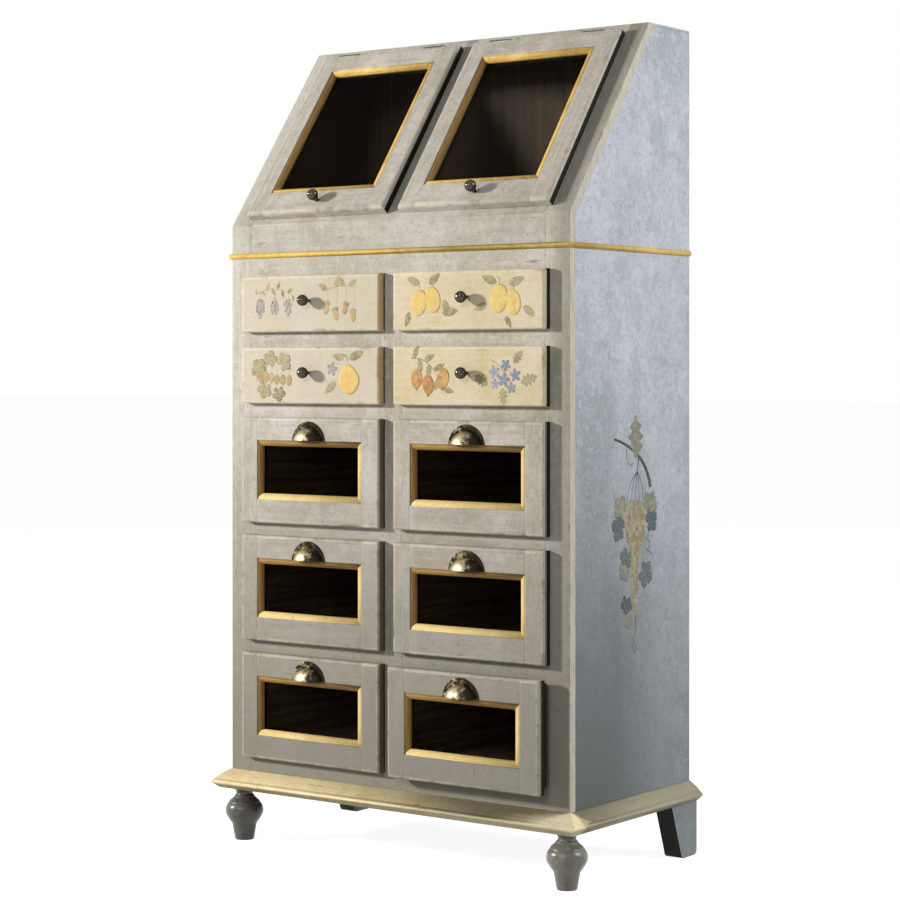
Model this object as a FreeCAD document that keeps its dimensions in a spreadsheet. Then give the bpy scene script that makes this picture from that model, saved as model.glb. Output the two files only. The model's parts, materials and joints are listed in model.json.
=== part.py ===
import FreeCAD, Part

import os

import Sketcher

# Pantry cupboard: a case on feet, two columns of drawers and two lift-up glazed flaps on a sloped top.
# Lengths are millimetres. X runs to the right, Y from the front to the back, Z up from the floor.
# X = 0 is the middle of the case, and Y = 0 the middle of the whole depth, from the foremost pull
# to the back.
SIZES = (
    # Case
    ("case_width", 900),
    ("case_depth", 470),
    ("foot_height", 116),
    ("side_thickness", 20),
    ("frame_thickness", 20),
    ("back_thickness", 8),
    ("floor_thickness", 20),
    ("top_thickness", 6),
    ("slope_run_share", 0.59154),
    ("slope_lift", 68),
    # Base moulding
    ("base_height", 42),
    ("base_projection", 33),
    ("base_top_ledge", 4),
    ("base_nose_low", 10),
    ("base_nose_high", 24),
    ("base_foot_ledge", 22),
    # Waist bead
    ("bead_height", 12),
    ("bead_projection", 5),
    ("bead_lift", 46),
    # Layout of the fronts
    ("front_margin", 47.5),
    ("front_thickness", 22),
    ("middle_gap", 37),
    ("bottom_margin", 33),
    ("glazed_front_height", 232),
    ("glazed_gap", 27),
    ("row_gap", 30),
    ("painted_front_height", 123),
    ("painted_gap", 33),
    ("overlay", 10),
    ("closing_gap", 0.3),
    ("drawer_opening", 20),
    # Glazed frames, their window mouldings and panes
    ("stile_width", 46),
    ("top_rail_height", 50),
    ("bottom_rail_height", 52),
    ("moulding_width", 13),
    ("moulding_depth", 9),
    ("moulding_lip", 3),
    ("moulding_setback", 2),
    ("glass_thickness", 3),
    ("glass_clearance", 0.6),
    ("glazing_strip_width", 10),
    # Drawer boxes and what they run on
    ("box_back_clearance", 22.3),
    ("box_side_thickness", 12),
    ("box_bottom_thickness", 6),
    ("box_bottom_lift", 8),
    ("box_side_clearance", 1.5),
    ("box_top_clearance", 6),
    ("runner_gap", 0.3),
    ("dust_board_thickness", 12),
    ("divider_thickness", 20),
    ("guide_height", 20),
    ("compartment_floor_drop", 40),
    # Flaps
    ("flap_bottom_margin", 15),
    ("flap_height", 468),
    ("flap_top_margin", 29.2),
    ("flap_top_rail_height", 49),
    ("flap_bottom_rail_height", 57),
    # Flap hinges
    ("hinge_offset", 120),
    ("hinge_length", 60),
    ("hinge_gap", 0.3),
    ("knuckle_radius", 4),
    ("knuckle_length", 20),
    ("pin_radius", 2),
    ("pin_clearance", 0.05),
    ("leaf_thickness", 1.5),
    ("leaf_width", 12),
    # Cup pulls
    ("pull_drop", 4),
    ("pull_flange_width", 6),
    ("pull_flange_thickness", 2),
    ("pull_dome_radius", 40),
    ("pull_dome_depth", 24),
    ("pull_wall", 2),
    # Knobs
    ("knob_lift", 6),
    ("knob_rose_radius", 8),
    ("knob_rose_thickness", 2),
    ("knob_neck_radius", 4),
    ("knob_neck_length", 8),
    ("knob_radius", 12.5),
    # Turned front feet: radii from the floor up, and heights as shares of the foot's height
    ("front_foot_inset", 20),
    ("toe_radius", 20),
    ("shin_radius", 24),
    ("shin_height_share", 0.24),
    ("ankle_radius", 26),
    ("ankle_height_share", 0.29),
    ("bulb_radius", 42),
    ("bulb_height_share", 0.57),
    ("throat_radius", 23.5),
    ("throat_height_share", 0.81),
    ("neck_radius", 20.5),
    ("neck_height_share", 0.88),
    ("collar_radius", 30),
    # Bracket feet at the back
    ("back_foot_thickness", 42),
    ("back_foot_top_depth", 104),
    ("back_foot_bottom_depth", 62),
    ("back_foot_overhang", 18),
    ("back_foot_rounding", 11),
)

QUARTER_TURN = 90
HALF_TURN = 180


class Size:
    """A length or an angle, kept as the expression that the document works out."""

    def __init__(self, text):
        self.text = str(text)

    def __str__(self):
        return self.text

    def __add__(self, other):
        return Size(f"({self} + {other})")

    def __sub__(self, other):
        return Size(f"({self} - {other})")

    def __mul__(self, other):
        return Size(f"({self} * {other})")

    def __rmul__(self, count):
        return Size(f"({count} * {self})")

    def __truediv__(self, other):
        return Size(f"({self} / {other})")

    def __neg__(self):
        return Size(f"(0 - {self})")


class SizeSheet:
    """The sheet of driving dimensions, whose names read as attributes."""

    def __init__(self, document, sizes):
        self.sheet = document.addObject("Spreadsheet::Sheet", "Sizes")
        for row, (name, value) in enumerate(sizes, start=1):
            self.sheet.set(f"A{row}", name)
            self.sheet.set(f"B{row}", str(value))
            self.sheet.setAlias(f"B{row}", name)
        self.names = {name for name, _ in sizes}

    def __getattr__(self, name):
        if name not in self.names:
            raise AttributeError(name)
        return Size(f"Sizes.{name}")

    def value(self, size):
        """The number that a size has now."""
        return float(self.sheet.evalExpression(str(size)))


doc = FreeCAD.newDocument("pantry_cupboard")
sizes = SizeSheet(doc, SIZES)
doc.recompute()

ZERO = Size("0")
nodes = []

# Places that the pieces share
half_width = sizes.case_width / 2
back_y = (sizes.case_depth + sizes.front_thickness + sizes.drawer_opening + sizes.pull_dome_depth) / 2
front_y = back_y - sizes.case_depth
frame_back_y = front_y + sizes.frame_thickness
panel_y = back_y - sizes.back_thickness
base_top = sizes.foot_height + sizes.base_height
inner_half_width = half_width - sizes.side_thickness
front_width = (sizes.case_width - sizes.middle_gap) / 2 - sizes.front_margin
front_centre = (sizes.middle_gap + front_width) / 2
opening_half_width = front_width / 2 - sizes.overlay
opening_outer_x = front_centre + opening_half_width
opening_inner_x = front_centre - opening_half_width

# Rows of drawers from the bottom up: name, height of the fronts, gap above, glazed or painted
ROWS = (
    ("bottom", sizes.glazed_front_height, sizes.glazed_gap, "glazed"),
    ("middle", sizes.glazed_front_height, sizes.glazed_gap, "glazed"),
    ("upper", sizes.glazed_front_height, sizes.row_gap, "glazed"),
    ("lower", sizes.painted_front_height, sizes.painted_gap, "painted"),
    ("top", sizes.painted_front_height, sizes.bead_lift, "painted"),
)
rows = []
level = base_top + sizes.bottom_margin
for row_name, row_height, gap_above, row_kind in ROWS:
    rows.append((row_name, row_kind, level, row_height))
    level = level + row_height + gap_above
bead_centre_z = level

# The slope leans back by tilt, and u is measured along it from its lower edge
tilt = Size(f"asin({sizes.slope_run_share})")
sin_tilt, cos_tilt = Size(f"sin({tilt})"), Size(f"cos({tilt})")
slope_length = sizes.flap_bottom_margin + sizes.flap_height + sizes.flap_top_margin
slope_run, slope_rise = slope_length * sin_tilt, slope_length * cos_tilt
slope_start_z = bead_centre_z + sizes.slope_lift
top_z = slope_start_z + slope_rise
slope_top_y = front_y + slope_run
lower_mitre = sizes.frame_thickness * Size(f"tan({tilt} / 2)")

# The back of the sloped frame meets the underside of the thinner top board here
under_top_y = slope_top_y + (sizes.frame_thickness - sizes.top_thickness * sin_tilt) / cos_tilt
slope_back_length = slope_length + (sizes.frame_thickness * sin_tilt - sizes.top_thickness) / cos_tilt
top_underside_z = top_z - sizes.top_thickness
flap_top_u = sizes.flap_bottom_margin + sizes.flap_height
compartment_floor_z = slope_start_z - sizes.compartment_floor_drop

SIDES = (("left", -1), ("right", 1))


def bind(item, expressions):
    """Tie properties of an object to sizes."""
    for name, size in expressions.items():
        item.setExpression(name, str(size))


def seat(item, x=ZERO, y=ZERO, z=ZERO, turn=None):
    """Put an object at a place, turned by a fixed rotation."""
    if turn is not None:
        item.Placement = FreeCAD.Placement(FreeCAD.Vector(), turn)
    bind(item, {"Placement.Base.x": x, "Placement.Base.y": y, "Placement.Base.z": z})
    return item


def lean(item, x, u, clearance):
    """Put an object on the slope, its own Z along it and its own -Y out of it."""
    item.Placement = FreeCAD.Placement(FreeCAD.Vector(), FreeCAD.Rotation(FreeCAD.Vector(-1, 0, 0), 1))
    y = front_y + u * sin_tilt - clearance * cos_tilt
    z = slope_start_z + u * cos_tilt + clearance * sin_tilt
    seat(item, x, y, z)
    bind(item, {"Placement.Rotation.Angle": tilt})
    return item


def turned(*turns):
    """A rotation from one or more turns, each an axis and degrees, the last one done first."""
    rotation = FreeCAD.Rotation()
    for axis, degrees in turns:
        rotation = rotation * FreeCAD.Rotation(FreeCAD.Vector(*axis), degrees)
    return rotation


X_AXIS, Y_AXIS, Z_AXIS = (1, 0, 0), (0, 1, 0), (0, 0, 1)
UP_TO_FRONT = turned((X_AXIS, QUARTER_TURN))
UP_TO_RIGHT = turned((Y_AXIS, QUARTER_TURN))


def board(name, x, y, z):
    """A plain board between two faces on each axis, each pair given as (low, high)."""
    box = doc.addObject("Part::Box", name)
    for side, (low, high) in zip(("Length", "Width", "Height"), (x, y, z)):
        bind(box, {side: high - low})
    return seat(box, x[0], y[0], z[0])


def tapered_board(name, x, y, z, x_far=None, z_far=None):
    """A board whose X and Z faces may lie elsewhere at its far Y face than at its near one."""
    wedge = doc.addObject("Part::Wedge", name)
    x_far = x_far or x
    z_far = z_far or z
    bind(wedge, {"Xmin": x[0], "Xmax": x[1], "Ymin": y[0], "Ymax": y[1], "Zmin": z[0], "Zmax": z[1]})
    bind(wedge, {"X2min": x_far[0], "X2max": x_far[1], "Z2min": z_far[0], "Z2max": z_far[1]})
    return wedge


def rod(name, radius, length, turn=None, x=ZERO, y=ZERO, z=ZERO):
    """A round bar, upright unless turned."""
    cylinder = doc.addObject("Part::Cylinder", name)
    bind(cylinder, {"Radius": radius, "Height": length})
    return seat(cylinder, x, y, z, turn)


def join(name, pieces):
    """One solid from pieces that overlap."""
    fusion = doc.addObject("Part::MultiFuse", name)
    fusion.Shapes = pieces
    return fusion


def cut(name, base, tool):
    """A solid with another taken away."""
    result = doc.addObject("Part::Cut", name)
    result.Base = base
    result.Tool = tool
    return result


def overlap(name, base, tool):
    """What two solids have in common."""
    result = doc.addObject("Part::Common", name)
    result.Base = base
    result.Tool = tool
    return result


def node(label, pieces):
    """A sub-part of separate solids, whose label names its file."""
    compound = doc.addObject("Part::Compound", label)
    compound.Label = label
    compound.Links = pieces
    nodes.append(compound)
    return compound


def outline(body, plane_role, corners):
    """A closed outline in one of a body's own planes.

    A corner is (across, up). A corner (across, up, via_across, via_up) is reached
    from the one before by an arc through the via point.
    """
    sketch = body.newObject("Sketcher::SketchObject", f"{body.Name}_outline")
    plane = next(item for item in body.Origin.OriginFeatures if item.Role == plane_role)
    sketch.AttachmentSupport = [(plane, "")]
    sketch.MapMode = "FlatFace"
    places = [FreeCAD.Vector(sizes.value(corner[0]), sizes.value(corner[1]), 0) for corner in corners]
    ends = []
    for index, corner in enumerate(corners):
        start, end = places[index - 1], places[index]
        if len(corner) == 2:
            curve = sketch.addGeometry(Part.LineSegment(start, end), False)
        else:
            via = FreeCAD.Vector(sizes.value(corner[2]), sizes.value(corner[3]), 0)
            curve = sketch.addGeometry(Part.Arc(start, via, end), False)
            point = sketch.addGeometry(Part.Point(via), True)
            pin_down(sketch, point, 1, corner[2], corner[3])
            sketch.addConstraint(Sketcher.Constraint("PointOnObject", point, 1, curve))
        gap_at_first, gap_at_last = (sketch.getPoint(curve, end).distanceToPoint(start) for end in (1, 2))
        forward = gap_at_first < gap_at_last
        ends.append((curve, 1, 2) if forward else (curve, 2, 1))
    for index, corner in enumerate(corners):
        curve, _, last = ends[index]
        following, first, _ = ends[(index + 1) % len(corners)]
        sketch.addConstraint(Sketcher.Constraint("Coincident", curve, last, following, first))
        pin_down(sketch, curve, last, corner[0], corner[1])
    return sketch


def pin_down(sketch, curve, end, across, up):
    """Hold a point of a sketch at sizes from the sketch's origin."""
    for kind, size, axis in (("DistanceX", across, -2), ("DistanceY", up, -1)):
        if size is ZERO:
            sketch.addConstraint(Sketcher.Constraint("PointOnObject", curve, end, axis))
        else:
            rule = Sketcher.Constraint(kind, -1, 1, curve, end, sizes.value(size))
            sketch.setExpression(f"Constraints[{sketch.addConstraint(rule)}]", str(size))


def padded(name, corners, thickness):
    """A body of an outline in its YZ plane, as thick as given along X."""
    body = doc.addObject("PartDesign::Body", name)
    pad = body.newObject("PartDesign::Pad", f"{name}_pad")
    pad.Profile = outline(body, "YZ_Plane", corners)
    bind(pad, {"Length": thickness})
    body.Tip = pad
    return body


def lathe_turned(name, corners):
    """A body turned about its Z axis from an outline in its XZ plane."""
    body = doc.addObject("PartDesign::Body", name)
    revolution = body.newObject("PartDesign::Revolution", f"{name}_turning")
    profile = outline(body, "XZ_Plane", corners)
    revolution.Profile = profile
    revolution.ReferenceAxis = (profile, ["V_Axis"])
    body.Tip = revolution
    return body


# Case: sides, back, top and bottom
side_profile = (
    (sizes.frame_thickness, sizes.foot_height),
    (sizes.case_depth, sizes.foot_height),
    (sizes.case_depth, top_underside_z),
    (under_top_y - front_y, top_underside_z),
    (sizes.frame_thickness, slope_start_z - lower_mitre),
)
for side, x in (("left", -half_width), ("right", inner_half_width)):
    panel = padded(f"side_panel_{side}_body", side_profile, sizes.side_thickness)
    node(f"side_panel_{side}", [seat(panel, x, front_y, ZERO)])

between_sides = (-inner_half_width, inner_half_width)
inside_depth = (frame_back_y, panel_y)
back_height = (sizes.foot_height, top_underside_z)
node("back_panel", [board("back_board", between_sides, (panel_y, back_y), back_height)])

top_piece = tapered_board(
    "top_board_piece",
    (-half_width, half_width),
    (ZERO, sizes.top_thickness),
    (ZERO, back_y - under_top_y),
    z_far=(ZERO, back_y - slope_top_y),
)
node("top_board", [seat(top_piece, ZERO, back_y, top_underside_z, UP_TO_FRONT)])

bottom_height = (sizes.foot_height, sizes.foot_height + sizes.floor_thickness)
node("bottom_board", [board("bottom_board_piece", between_sides, inside_depth, bottom_height)])


# Mouldings round the front and both sides, mitred at the front corners
def mitred_strip(name, corners, length, projection, height, mitres):
    """A moulding along X with its back in the plane Y = 0; mitres say which ends are mitred."""
    strip = padded(f"{name}_strip", corners, length + 2 * projection)
    seat(strip, -projection, ZERO, ZERO)
    start, end = (projection if mitre else ZERO for mitre in mitres)
    block = tapered_board(
        f"{name}_ends",
        (ZERO, length),
        (ZERO, projection),
        (ZERO, height),
        x_far=(-start, length + end),
    )
    return overlap(name, strip, block)


def moulding_round_case(label, corners, projection, height, z):
    """A node of three mitred strips with their lower edge at z."""
    front = mitred_strip(f"{label}_front", corners, sizes.case_width, projection, height, (True, True))
    left = mitred_strip(f"{label}_left", corners, sizes.case_depth, projection, height, (True, False))
    right = mitred_strip(f"{label}_right", corners, sizes.case_depth, projection, height, (False, True))
    seat(front, half_width, front_y, z, turned((Z_AXIS, HALF_TURN)))
    seat(left, -half_width, front_y, z, turned((Z_AXIS, QUARTER_TURN)))
    seat(right, half_width, back_y, z, turned((Z_AXIS, -QUARTER_TURN)))
    node(label, [front, left, right])


# Shares of an arc's width and height at which it passes its via point
OVOLO_SHARE = 0.71
COVE_SHARE = 0.29

base_corners = (
    (ZERO, ZERO),
    (sizes.base_foot_ledge, ZERO),
    (
        sizes.base_projection,
        sizes.base_nose_low,
        sizes.base_foot_ledge + (sizes.base_projection - sizes.base_foot_ledge) * OVOLO_SHARE,
        sizes.base_nose_low * COVE_SHARE,
    ),
    (sizes.base_projection, sizes.base_nose_high),
    (
        sizes.base_top_ledge,
        sizes.base_height,
        sizes.base_top_ledge + (sizes.base_projection - sizes.base_top_ledge) * OVOLO_SHARE,
        sizes.base_nose_high + (sizes.base_height - sizes.base_nose_high) * OVOLO_SHARE,
    ),
    (ZERO, sizes.base_height),
)
moulding_round_case(
    "base_moulding", base_corners, sizes.base_projection, sizes.base_height, sizes.foot_height
)

bead_corners = (
    (ZERO, ZERO),
    (ZERO, sizes.bead_height, sizes.bead_projection, sizes.bead_height / 2),
)
bead_bottom_z = bead_centre_z - sizes.bead_height / 2
moulding_round_case(
    "waist_bead", bead_corners, sizes.bead_projection, sizes.bead_height, bead_bottom_z
)

# Face frame: the upright part
frame_depth = (front_y, frame_back_y)
stile_outer = (opening_outer_x, half_width)
mullion_x = (-opening_inner_x, opening_inner_x)
first_opening_z = rows[0][2] + sizes.overlay
last_opening_z = rows[-1][2] + rows[-1][3] - sizes.overlay
frame_boards = []
for side, sign in SIDES:
    stile_x = stile_outer if sign > 0 else (-stile_outer[1], -stile_outer[0])
    frame_boards.append(
        tapered_board(
            f"stile_{side}",
            stile_x,
            frame_depth,
            (sizes.foot_height, slope_start_z),
            z_far=(sizes.foot_height, slope_start_z - lower_mitre),
        )
    )
between_stiles = (-opening_outer_x, opening_outer_x)
frame_boards.append(
    board("bottom_rail", between_stiles, frame_depth, (sizes.foot_height, first_opening_z))
)
frame_boards.append(
    tapered_board(
        "fascia",
        between_stiles,
        frame_depth,
        (last_opening_z, slope_start_z),
        z_far=(last_opening_z, slope_start_z - lower_mitre),
    )
)
frame_boards.append(board("mullion", mullion_x, frame_depth, (first_opening_z, last_opening_z)))
for (_, _, low_z, height), (name, _, next_z, _) in zip(rows, rows[1:]):
    rail_z = (low_z + height - sizes.overlay, next_z + sizes.overlay)
    frame_boards.append(
        board(f"rail_left_{name}", (-opening_outer_x, -opening_inner_x), frame_depth, rail_z)
    )
    frame_boards.append(
        board(f"rail_right_{name}", (opening_inner_x, opening_outer_x), frame_depth, rail_z)
    )

# Face frame: the sloped part, drawn upright and then leaned back
slope_depth = (ZERO, sizes.frame_thickness)
flap_opening_low = sizes.flap_bottom_margin + sizes.overlay
flap_opening_high = flap_top_u - sizes.overlay
slope_boards = []
for side, sign in SIDES:
    stile_x = stile_outer if sign > 0 else (-stile_outer[1], -stile_outer[0])
    slope_boards.append(
        tapered_board(
            f"slope_stile_{side}",
            stile_x,
            slope_depth,
            (ZERO, slope_length),
            z_far=(lower_mitre, slope_back_length),
        )
    )
slope_boards.append(
    tapered_board(
        "slope_bottom_rail",
        between_stiles,
        slope_depth,
        (ZERO, flap_opening_low),
        z_far=(lower_mitre, flap_opening_low),
    )
)
slope_boards.append(
    tapered_board(
        "slope_top_rail",
        between_stiles,
        slope_depth,
        (flap_opening_high, slope_length),
        z_far=(flap_opening_high, slope_back_length),
    )
)
slope_boards.append(
    board("slope_mullion", mullion_x, slope_depth, (flap_opening_low, flap_opening_high))
)
slope_frame = doc.addObject("Part::Compound", "slope_frame")
slope_frame.Links = slope_boards
lean(slope_frame, ZERO, ZERO, ZERO)
node("face_frame", frame_boards + [slope_frame])

# Boards inside: what the drawers run on and between, and the floor of the top compartment
inner_pieces = []
divider_x = (-(sizes.divider_thickness / 2), sizes.divider_thickness / 2)
guide_spans = (
    ("outer_left", (-inner_half_width, -opening_outer_x)),
    ("inner_left", (-opening_inner_x, divider_x[0])),
    ("inner_right", (divider_x[1], opening_inner_x)),
    ("outer_right", (opening_outer_x, inner_half_width)),
)
compartment_floor_bottom = compartment_floor_z - sizes.floor_thickness
dust_board_tops = [low_z + sizes.overlay for _, _, low_z, _ in rows]
ceilings = [top - sizes.dust_board_thickness for top in dust_board_tops[1:]]
ceilings.append(compartment_floor_bottom)
for (name, _, _, _), top, ceiling in zip(rows, dust_board_tops, ceilings):
    dust_board_z = (top - sizes.dust_board_thickness, top)
    inner_pieces.append(board(f"dust_board_{name}", between_sides, inside_depth, dust_board_z))
    inner_pieces.append(board(f"divider_{name}", divider_x, inside_depth, (top, ceiling)))
    for place, span in guide_spans:
        guide_z = (top, top + sizes.guide_height)
        inner_pieces.append(board(f"guide_{name}_{place}", span, inside_depth, guide_z))
inner_pieces.append(
    board(
        "compartment_floor",
        between_sides,
        inside_depth,
        (compartment_floor_bottom, compartment_floor_z),
    )
)
node("inner_boards", inner_pieces)

# Feet
shin_z = sizes.foot_height * sizes.shin_height_share
ankle_z = sizes.foot_height * sizes.ankle_height_share
bulb_z = sizes.foot_height * sizes.bulb_height_share
throat_z = sizes.foot_height * sizes.throat_height_share
neck_z = sizes.foot_height * sizes.neck_height_share
foot_profile = (
    (ZERO, ZERO),
    (sizes.toe_radius, ZERO),
    (sizes.shin_radius, shin_z),
    (sizes.ankle_radius, ankle_z),
    (sizes.throat_radius, throat_z, sizes.bulb_radius, bulb_z),
    (sizes.collar_radius, sizes.foot_height, sizes.neck_radius, neck_z),
    (ZERO, sizes.foot_height),
)
front_feet = []
for side, sign in SIDES:
    foot = lathe_turned(f"front_foot_{side}", foot_profile)
    foot_x = sign * (half_width - sizes.front_foot_inset)
    front_feet.append(seat(foot, foot_x, front_y + sizes.front_foot_inset, ZERO))
node("front_feet", front_feet)

# A bracket foot is drawn with its back edge on the Z axis and its depth towards +Y, then turned round
bracket_profile = (
    (ZERO, ZERO),
    (sizes.back_foot_bottom_depth, ZERO),
    (sizes.back_foot_top_depth, sizes.foot_height),
    (ZERO, sizes.foot_height),
)


def bracket_foot(name):
    """A back foot with its two bottom corners rounded."""
    body = padded(name, bracket_profile, sizes.back_foot_thickness)
    pad = body.Tip
    doc.recompute()
    bottom_edges = []
    for index, edge in enumerate(pad.Shape.Edges, start=1):
        runs_along_x = abs(edge.BoundBox.XLength - edge.Length) <= Part.Precision.confusion()
        if runs_along_x and edge.CenterOfMass.z <= Part.Precision.confusion():
            bottom_edges.append(f"Edge{index}")
    rounding = body.newObject("PartDesign::Fillet", f"{name}_rounding")
    rounding.Base = (pad, bottom_edges)
    bind(rounding, {"Radius": sizes.back_foot_rounding})
    body.Tip = rounding
    return body


back_foot_outer_x = half_width + sizes.back_foot_overhang
back_foot_turn = turned((Z_AXIS, HALF_TURN))
back_feet = [
    seat(bracket_foot("back_foot_right"), back_foot_outer_x, back_y, ZERO, back_foot_turn),
    seat(
        bracket_foot("back_foot_left"),
        sizes.back_foot_thickness - back_foot_outer_x,
        back_y,
        ZERO,
        back_foot_turn,
    ),
]
node("back_feet", back_feet)


# Glazed frames, used by the drawers and the flaps
# A frame is drawn upright, X = 0 in its middle, Z = 0 at its bottom edge and Y = 0 on its back face
half_front = front_width / 2
window_half = half_front - sizes.stile_width
front_depth = (-sizes.front_thickness, ZERO)
moulding_back_y = sizes.moulding_setback + sizes.moulding_depth - sizes.front_thickness
glass_back_y = moulding_back_y + sizes.glass_thickness


def frame_members(name, height, window_low, window_high):
    """Two full-height stiles with two rails between them."""
    rail_x = (-window_half, window_half)
    return [
        board(f"{name}_left_stile", (-half_front, -window_half), front_depth, (ZERO, height)),
        board(f"{name}_right_stile", (window_half, half_front), front_depth, (ZERO, height)),
        board(f"{name}_bottom_rail", rail_x, front_depth, (ZERO, window_low)),
        board(f"{name}_top_rail", rail_x, front_depth, (window_high, height)),
    ]


def window_moulding(name, window_low, window_high):
    """Four mitred strips that bevel down to the pane, and four strips that hold it from behind."""
    width, height = 2 * window_half, window_high - window_low
    corners = (
        ("bottom", width, -window_half, window_low, 0),
        ("left", height, -window_half, window_high, QUARTER_TURN),
        ("top", width, window_half, window_high, HALF_TURN),
        ("right", height, window_half, window_low, -QUARTER_TURN),
    )
    strips = []
    for place, length, x, z, degrees in corners:
        strip = tapered_board(
            f"{name}_{place}_strip",
            (ZERO, length),
            (ZERO, sizes.moulding_width),
            (ZERO, sizes.moulding_depth),
            x_far=(sizes.moulding_width, length - sizes.moulding_width),
            z_far=(ZERO, sizes.moulding_lip),
        )
        turn = turned((Y_AXIS, degrees), (X_AXIS, QUARTER_TURN))
        strips.append(seat(strip, x, moulding_back_y, z, turn))
    bar = sizes.glazing_strip_width
    behind = (glass_back_y, ZERO)
    across = (-window_half, window_half)
    upright = (window_low + bar, window_high - bar)
    strips += [
        board(f"{name}_back_bottom", across, behind, (window_low, window_low + bar)),
        board(f"{name}_back_top", across, behind, (window_high - bar, window_high)),
        board(f"{name}_back_left", (-window_half, bar - window_half), behind, upright),
        board(f"{name}_back_right", (window_half - bar, window_half), behind, upright),
    ]
    return strips


def pane(name, window_low, window_high):
    """A glass pane with clearance all round."""
    half = window_half - sizes.glass_clearance
    height = (window_low + sizes.glass_clearance, window_high - sizes.glass_clearance)
    return board(f"{name}_pane", (-half, half), (moulding_back_y, glass_back_y), height)


# Knobs and cup pulls are drawn with their seat at Y = 0 and stand out towards the front
pull_radius = sizes.pull_dome_radius + sizes.pull_flange_width


def knob(name):
    """A turned knob: a rose, a neck and a ball, on one axis."""
    rose = rod(f"{name}_rose", sizes.knob_rose_radius, sizes.knob_rose_thickness)
    neck_length = sizes.knob_neck_length + sizes.knob_radius
    neck = rod(f"{name}_neck", sizes.knob_neck_radius, neck_length)
    ball = doc.addObject("Part::Sphere", f"{name}_ball")
    bind(ball, {"Radius": sizes.knob_radius})
    seat(ball, ZERO, ZERO, neck_length)
    return seat(join(f"{name}_turning", [rose, neck, ball]), turn=UP_TO_FRONT)


def flattened_ball(name, radius, depth):
    """A ball pressed flat along Y, its centre below the pull's lower edge."""
    ball = doc.addObject("Part::Ellipsoid", name)
    bind(ball, {"Radius1": depth, "Radius2": radius, "Radius3": radius})
    return seat(ball, ZERO, ZERO, -sizes.pull_drop, UP_TO_FRONT)


def cup_pull(name):
    """A hollow half dome with a thin arched flange, open at its back and from below."""
    flange = rod(
        f"{name}_flange",
        pull_radius,
        sizes.pull_flange_thickness,
        UP_TO_FRONT,
        z=-sizes.pull_drop,
    )
    dome = flattened_ball(f"{name}_dome", sizes.pull_dome_radius, sizes.pull_dome_depth)
    hollow = flattened_ball(
        f"{name}_hollow",
        sizes.pull_dome_radius - sizes.pull_wall,
        sizes.pull_dome_depth - sizes.pull_wall,
    )
    shell = cut(f"{name}_shell", join(f"{name}_solid", [flange, dome]), hollow)
    half_space = board(
        f"{name}_half",
        (-pull_radius, pull_radius),
        (-sizes.pull_dome_depth, ZERO),
        (ZERO, pull_radius),
    )
    return overlap(f"{name}_cup", shell, half_space)


# Drawers
box_back_y = sizes.case_depth + sizes.closing_gap - sizes.back_thickness - sizes.box_back_clearance


def drawer_box(name, height):
    """Two sides, a back and a raised bottom behind a front of the given height."""
    outer = opening_half_width - sizes.box_side_clearance
    inner = outer - sizes.box_side_thickness
    low = sizes.overlay + sizes.runner_gap
    high = height - sizes.overlay - sizes.box_top_clearance
    back = (box_back_y - sizes.box_side_thickness, box_back_y)
    bottom_z = low + sizes.box_bottom_lift
    return [
        board(f"{name}_left_side", (-outer, -inner), (ZERO, box_back_y), (low, high)),
        board(f"{name}_right_side", (inner, outer), (ZERO, box_back_y), (low, high)),
        board(f"{name}_back", (-inner, inner), back, (low, high)),
        board(
            f"{name}_bottom",
            (-inner, inner),
            (ZERO, back[0]),
            (bottom_z, bottom_z + sizes.box_bottom_thickness),
        ),
    ]


def glazed_drawer(name, x, y, z, height):
    """A glazed front with its moulding, pane and cup pull, and the box behind it."""
    window_low = sizes.bottom_rail_height
    window_high = height - sizes.top_rail_height
    seat(node(f"{name}_front", frame_members(f"{name}_frame", height, window_low, window_high)), x, y, z)
    seat(node(f"{name}_box", drawer_box(f"{name}_body", height)), x, y, z)
    seat(node(f"{name}_moulding", window_moulding(f"{name}_window", window_low, window_high)), x, y, z)
    seat(node(f"{name}_glass", [pane(name, window_low, window_high)]), x, y, z)
    seat(node(f"{name}_cup_pull", [cup_pull(name)]), x, y - sizes.front_thickness, z + window_high)


def painted_drawer(name, x, y, z, height):
    """A solid front with a knob, and the box behind it."""
    front = board(f"{name}_front", (-half_front, half_front), front_depth, (ZERO, height))
    seat(node(f"{name}_box", [front] + drawer_box(f"{name}_body", height)), x, y, z)
    knob_z = z + height / 2 + sizes.knob_lift
    seat(node(f"{name}_knob", [knob(name)]), x, y - sizes.front_thickness, knob_z)


# At rest one drawer, bottom right, stands a little open
closed_y = front_y - sizes.closing_gap
open_y = front_y - sizes.drawer_opening
for row_name, row_kind, low_z, height in rows:
    make_drawer = glazed_drawer if row_kind == "glazed" else painted_drawer
    for side, sign in SIDES:
        drawer_y = open_y if (row_name, side) == ("bottom", "right") else closed_y
        make_drawer(f"{row_kind}_{row_name}_{side}", sign * front_centre, drawer_y, low_z, height)


# Flaps and their hinges
# A hinge is drawn with X = 0 in its middle, Y = 0 on the slope and Z = 0 at the flap's top edge
pin_y = -(sizes.knuckle_radius + sizes.hinge_gap)
pin_z = sizes.knuckle_radius + sizes.hinge_gap
knuckle_edge = pin_z + sizes.knuckle_radius + sizes.hinge_gap
half_hinge = sizes.hinge_length / 2


def knuckle(name, x_low, x_high):
    """A stretch of the hinge's barrel."""
    return rod(name, sizes.knuckle_radius, x_high - x_low, UP_TO_RIGHT, x_low, pin_y, pin_z)


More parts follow.
